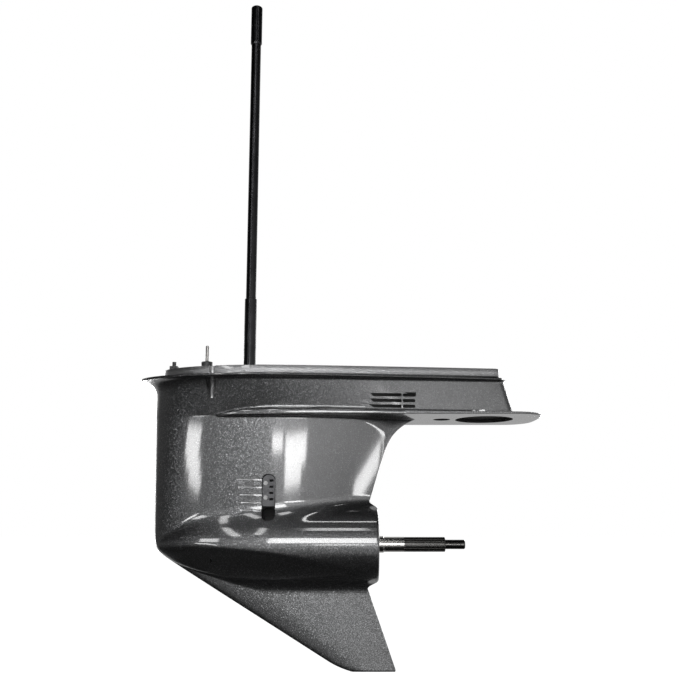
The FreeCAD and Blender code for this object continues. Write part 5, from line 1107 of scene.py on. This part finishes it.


# %% [markdown]
# The flakes lie nearly flat and each one mirrors its own way, so the colour glitters up close and looks
# evenly grey from afar. Here each flake is a cell of a fine Voronoi pattern with its own tone and tilt, and
# the clear coat is the shader's coat layer. The rim just under the deck gets a painted highlight: a lighter
# base colour where it catches the light.

# %% Paint with flakes
FLAKE_SCALE = 1100.0
FLAKE_TILT = 0.3
FLAKE_TONES = (0.8, 1.0)
BASE_COAT, FLAKE = (0.085, 0.086, 0.088), (0.22, 0.222, 0.227)
RIM_HEIGHTS, RIM_PAINTED_HIGHLIGHT = (-0.0135, -0.0005), (0.3, 0.3, 0.305)
# Painted shade: the openings get a near-black colour, more roughness and no metal or coat
RECESS_SHADE_BLACK = (0.012, 0.012, 0.012)
METALLIC = 0.85
PAINT_ROUGHNESS, RECESS_SHADE_ROUGHNESS = (0.29, 0.35), 0.6
COAT_ROUGHNESS, COAT_INDEX = 0.075, 1.8
CLOUDS, CLOUD_RANGE = 9.0, (0.35, 0.65)


def gloss_paint():
    """The base coat's normal is tilted by each flake, and the clear coat over it keeps the smooth normal."""
    paint = Finish("gloss_paint")
    cell = paint.node("ShaderNodeTexVoronoi", {}, {"Vector": paint.place(), "Scale": FLAKE_SCALE}, "Color")
    tone = paint.node("ShaderNodeSeparateColor", {}, {"Color": cell}, "Red")
    cloud = paint.remap(paint.noise(CLOUDS, 3.0), *CLOUD_RANGE, 0.0, 1.0)
    base = paint.mix(paint.remap(tone, *FLAKE_TONES, 0.0, 1.0), BASE_COAT, FLAKE)
    normal = paint.node("ShaderNodeNewGeometry", output="Normal")
    tilt = paint.vector("SCALE", paint.vector("SUBTRACT", cell, (0.5, 0.5, 0.5)), scale=FLAKE_TILT)
    flake = paint.vector("NORMALIZE", paint.vector("ADD", normal, tilt))
    shade = recesses(paint)
    # Painted highlight: a lighter base colour on the rim band just under the deck
    rim = paint.between(paint.axis(paint.place(), "Z"), *RIM_HEIGHTS)
    bright = paint.mix(rim, base, RIM_PAINTED_HIGHLIGHT)
    roughness = paint.remap(cloud, 0.0, 1.0, *PAINT_ROUGHNESS) + shade * RECESS_SHADE_ROUGHNESS
    paint.set(Base_Color=paint.mix(shade, bright, RECESS_SHADE_BLACK), Metallic=(1 - shade) * METALLIC,
              Roughness=roughness, Normal=flake,
              Coat_Weight=1 - shade, Coat_Roughness=COAT_ROUGHNESS, Coat_IOR=COAT_INDEX)
    return paint


casing.data.materials.clear()
casing.data.materials.append(gloss_paint().material)
casing.data.polygons.foreach_set("material_index", np.zeros(len(casing.data.polygons), int))
print(f"the paint has {len(casing.data.materials[0].node_tree.nodes)} nodes")

# %% [markdown]
# ## Metals, plastics and rubber
#
# The other pieces are turned, cast or moulded. A turned shaft has grain round it, a casting has specks,
# and a moulding has a fine leathery skin. Two recipes cover them all: one for metal and one for what is
# moulded. A flat colour would be quicker, but then nothing tells steel from plastic up close.


# %% Recipes for metal and for mouldings
def metal(name, colour, roughness, grain=(60.0, 60.0, 60.0), bump=0.02, dirt=0.25):
    """Machined or cast metal: its roughness and tone vary along the grain, with a little relief."""
    finish = Finish(name)
    fine = finish.noise(12.0, 4.0, 0.6, grain)
    cloud = finish.remap(finish.noise(35.0, 3.0), 0.35, 0.65, 0.0, 1.0)
    dark = tuple(level * (1 - dirt) for level in colour)
    finish.set(Base_Color=finish.mix(cloud * 0.6 + fine * 0.4, dark, colour), Metallic=1.0,
               Roughness=finish.remap(fine, 0.3, 0.7, roughness * 0.75, roughness * 1.3),
               Normal=finish.bump(fine, bump, 0.001))
    return finish.material


def moulded(name, colour, roughness, relief=0.05):
    """Moulded plastic, rubber or fibre: fine leathery relief, and a slightly uneven sheen."""
    finish = Finish(name)
    fine = finish.noise(900.0, 3.0)
    cloud = finish.noise(40.0, 3.0)
    pale = tuple(min(1.0, level * 1.35 + 0.004) for level in colour)
    finish.set(Base_Color=finish.mix(cloud, colour, pale),
               Roughness=finish.remap(cloud, 0.3, 0.7, roughness * 0.85, roughness * 1.15),
               Normal=finish.bump(fine, relief, 0.0005))
    return finish.material


# %% [markdown]
# The propeller shaft is one piece of steel with two finishes. A grinding wheel has polished the land that
# the seal and the propeller run on, and the splines and the thread behind it are left dark from the
# cutter. One material with a limit along the shaft gives both, so the piece stays whole.

# %% The propeller shaft's steel
LAND_END = 0.274
LAND_BLEND = 0.0005
GROUND_STEEL, CUT_STEEL = (0.56, 0.55, 0.53), (0.1, 0.098, 0.095)


def propeller_steel():
    """Bright from the gears to the end of the land, and dark aft of it, with grain round the shaft."""
    finish = Finish("propeller_steel")
    fine = finish.noise(12.0, 4.0, 0.6, (60.0, 4.0, 4.0))
    along = finish.axis(finish.place(), "X")
    aft = finish.remap(along, LAND_END - LAND_BLEND, LAND_END + LAND_BLEND, 0.0, 1.0)
    finish.set(Base_Color=finish.mix(aft, GROUND_STEEL, CUT_STEEL), Metallic=1.0,
               Roughness=finish.remap(fine, 0.3, 0.7, 0.16, 0.28), Normal=finish.bump(fine, 0.02, 0.001))
    return finish.material


# %% [markdown]
# Each piece of the CAD model names the finish that it should have. The grey plastic covers are painted,
# and paint with flakes in it mirrors as a dull metal does, so the metal recipe makes them too. A few
# pieces differ from the rest of their kind and get a finish of their own.

# %% Every piece gets its finish
FINISHES = {
    "cast_aluminium": metal("cast_aluminium", (0.42, 0.42, 0.43), 0.5, bump=0.15),
    "stainless": metal("stainless", (0.42, 0.41, 0.4), 0.3, (4.0, 60.0, 60.0)),
    "dark_shaft": metal("dark_shaft", (0.05, 0.05, 0.053), 0.24, (60.0, 60.0, 4.0), dirt=0.4),
    "gear_steel": metal("gear_steel", (0.34, 0.33, 0.32), 0.3),
    "bearing_steel": metal("bearing_steel", (0.6, 0.6, 0.61), 0.16),
    "ring_nut_metal": metal("ring_nut_metal", (0.4, 0.39, 0.36), 0.38),
    "black_plastic": moulded("black_plastic", (0.018, 0.018, 0.019), 0.35),
    "grey_plastic": metal("grey_plastic", (0.08, 0.08, 0.083), 0.45, bump=0.05),
    "rubber": moulded("rubber", (0.022, 0.021, 0.02), 0.6),
    "fibre": moulded("fibre", (0.16, 0.13, 0.09), 0.75),
}
OWN_FINISH = {
    "propeller_shaft": propeller_steel(),
    "inlet_cover_screws": metal("screw_steel", (0.3, 0.3, 0.3), 0.5),
    "pitot_fitting": moulded("fitting_black", (0.02, 0.02, 0.021), 0.4),
    "shift_rod_guide": moulded("guide_black", (0.035, 0.035, 0.036), 0.4),
}
for row in frame["record"]["subparts"]:
    if row["node"] != "gearcase_housing":
        for held in frame["nodes"][row["node"]].material_slots:
            held.material = OWN_FINISH.get(row["node"], FINISHES[row["material_slot"]])
print(f"{len(FINISHES)} finishes, and {len(OWN_FINISH)} more for single pieces")

# %% [markdown]
# ## The studio
#
# The object hangs in a white studio, and the camera stands level with the torpedo and looks up a little, so
# that the plate and the lip show their undersides.

# %% Camera
CAMERA_PLACE = (0.1624, -1.600, -0.2796)
CAMERA_TILT = 11.951
CAMERA_LENS = 47.72
SENSOR_WIDTH = 36


def camera():
    """Level with the torpedo, about 1.6 m off, and tilted up by 12 degrees."""
    data = bpy.data.cameras.new("camera")
    data.lens = CAMERA_LENS
    data.sensor_width = SENSOR_WIDTH
    made = bpy.data.objects.new("camera", data)
    made.location = CAMERA_PLACE
    made.rotation_euler = (math.radians(90 + CAMERA_TILT), 0, 0)
    bpy.context.scene.collection.objects.link(made)
    bpy.context.scene.camera = made


camera()
print(f"camera {-CAMERA_PLACE[1]:.1f} m from the centreline")

# %% [markdown]
# A clear coat shows every lamp. The bright patches on a dark casting are mirror images of soft boxes, so
# each box is put where the surface mirrors it: long low ones for the lines along lip, body and plate, wide
# ones for the torpedo, and tall ones high up for the shafts. Two tall ones stand behind and draw a light
# edge, and one hangs from the ceiling. One big lamp would be simpler, but it turns the whole side grey.

# %% Soft boxes
FACING = (
    # Name, place, width, height, glow, roll in degrees
    ("front_strip", (-1.21, -1.6, -0.245), 0.41, 0.1, 9, 6),
    ("front_strip_middle", (-1.14, -1.6, -0.32), 0.38, 0.05, 9, 8),
    ("front_strip_low", (-1.05, -1.6, -0.37), 0.3, 0.05, 8, 10),
    ("middle_strip_short", (0.17, -1.6, -0.32), 0.19, 0.055, 10, 0),
    ("middle_strip", (0.48, -1.6, -0.348), 0.34, 0.095, 10, 0),
    ("middle_strip_low", (0.45, -1.6, -0.425), 0.27, 0.06, 9, 0),
    ("rear_strip", (1.86, -1.6, -0.55), 0.54, 0.13, 9, -12.7),
    ("torpedo_box", (0.02, -1.6, 0.03), 0.56, 0.42, 8.5, 0),
    ("torpedo_box_front", (-1.09, -1.6, 0.12), 0.38, 0.34, 6, 0),
    ("high_front", (-0.81, -1.6, 0.88), 0.14, 0.8, 5, -20),
    ("high_second", (-0.42, -1.6, 1.0), 0.1, 0.8, 5, 0),
    ("high_middle", (0.15, -1.6, 1.35), 0.25, 0.5, 5, 0),
    ("high_rear", (1.32, -1.6, 2.0), 0.25, 0.25, 5, 0),
)
AIMED = (
    # Name, place, width, height, glow, the point that it faces
    ("behind_front", (-0.75, 1.7, -0.1), 0.3, 1.1, 7, (0.0, 0.0, -0.2)),
    ("behind_rear", (1.1, 1.6, 0.15), 0.35, 1.0, 7, (0.1, 0.0, -0.2)),
    ("ceiling_strip", (0.16, -0.735, 1.83), 0.45, 0.1, 8, (0.16, -0.05, -0.27)),
)


def lamp(name, place, width, height, glow, turn):
    """A rectangular soft box of a given glow, turned by its three angles. Its power grows with its area."""
    data = bpy.data.lights.new(name, "AREA")
    data.shape = "RECTANGLE"
    data.size, data.size_y = width, height
    data.energy = glow * math.pi * width * height
    made = bpy.data.objects.new(name, data)
    made.location = place
    made.rotation_euler = turn
    bpy.context.scene.collection.objects.link(made)


for *box, roll in FACING:
    lamp(*box, (math.radians(90), math.radians(roll), 0))
for name, place, *size, target in AIMED:
    lamp(name, place, *size, (Vector(target) - Vector(place)).to_track_quat("-Z", "Y").to_euler())
print(f"{len(FACING) + len(AIMED)} soft boxes")

# %% [markdown]
# The backdrop and the floor are white to the camera. Mirrored in the paint they are dimmer, as a backdrop is
# that stands further off than the lamps. A studio's walls could be modelled, but a world whose light depends
# on the direction is quicker to render and easier to tune.

# %% The light all round
BEHIND = ((0.0, 0.0), (0.67, 0.0), (0.8, 1.0))
BEHIND_LEVEL = 0.42
SEEN, MIRRORED, AROUND = 1.0, 1.18, 0.9
BAND = ((0.0, 0.01), (0.22, 0.03), (0.3, 0.45), (0.395, 0.5), (0.44, 0.95), (0.58, 1.0), (0.66, 0.3),
        (0.78, 0.02))
ROUND = ((0.0, 0.12), (0.12, 0.03), (0.24, 0.1), (0.31, 0.34), (0.5, 0.62), (0.6, 0.9), (0.75, 1.0),
         (1.0, 0.6))


def ray(board, kind):
    """1 for rays of one kind, such as those from the camera, and 0 for all others."""
    return board.node("ShaderNodeLightPath", output=f"Is {kind} Ray")


def as_share(sky, way, name):
    """A direction's part along one axis, moved from the range -1 to 1 to the range 0 to 1."""
    return sky.axis(way, name) * 0.5 + 0.5


def world():
    """A band of light round the horizon, even light from behind the object, and white for the camera.

    The band's level is the product of two ramps, one over the height and one from front to rear. Where the
    direction points behind the object, one even level takes its place."""
    made = bpy.data.worlds.new("studio")
    bpy.context.scene.world = made
    made.use_nodes = True
    sky = Board(made.node_tree)
    light = made.node_tree.nodes["Background"].inputs
    light["Color"].default_value = (1, 1, 1, 1)
    way = sky.node("ShaderNodeTexCoord", output="Generated")
    across = sky.ramp(as_share(sky, way, "Z"), BAND)
    along = sky.ramp(as_share(sky, way, "X"), ROUND)
    behind = sky.ramp(as_share(sky, way, "Y"), BEHIND)
    band = across * along * (1 - behind) + behind * BEHIND_LEVEL
    mirrored = ray(sky, "Glossy") + ray(sky, "Transmission")
    level = band * (AROUND + mirrored * (MIRRORED - AROUND))
    seen = ray(sky, "Camera")
    sky.connect(light["Strength"], level * (1 - seen) + seen * SEEN)


world()
print(f"the world glows {SEEN} to the camera and up to {MIRRORED} in mirrors")

# %% [markdown]
# The floor lies just under the skeg. It is a pale sheet with a glow of its own mixed in, so that it melts
# into the backdrop and still takes a soft shadow.

# %% Floor
FLOOR = -0.53
FLOOR_HALF = 30000
FLOOR_PALE = (0.8, 0.8, 0.8)
FLOOR_GLOW = 1.3
GLOW_SHARE = 0.8


def studio_floor():
    """A wide pale sheet that glows to the camera. Mirrors look through it to the world."""
    corners = np.array([(-1, -1), (1, -1), (1, 1), (-1, 1)]) * FLOOR_HALF
    floor = new_mesh("floor", np.column_stack([corners, np.full(4, FLOOR / MM)]), [[0, 1, 2, 3]])
    pale = Finish("floor_pale")
    pale.set(Base_Color=FLOOR_PALE, Roughness=0.9, Specular_IOR_Level=0.0)
    glow = pale.node("ShaderNodeEmission", {}, {"Strength": FLOOR_GLOW})
    clear = pale.node("ShaderNodeBsdfTransparent")
    plain = Signal(pale, pale.shader.outputs[0])
    shown = pale.node("ShaderNodeMixShader", {}, {0: ray(pale, "Camera") * GLOW_SHARE, 1: plain, 2: glow})
    both = pale.node("ShaderNodeMixShader", {}, {0: ray(pale, "Glossy"), 1: shown, 2: clear})
    pale.connect(pale.tree.nodes["Material Output"].inputs["Surface"], both)
    floor.data.materials.append(pale.material)


studio_floor()
bpy.context.scene.view_settings.view_transform = "Standard"
print(f"floor at {FLOOR / MM:.0f}")
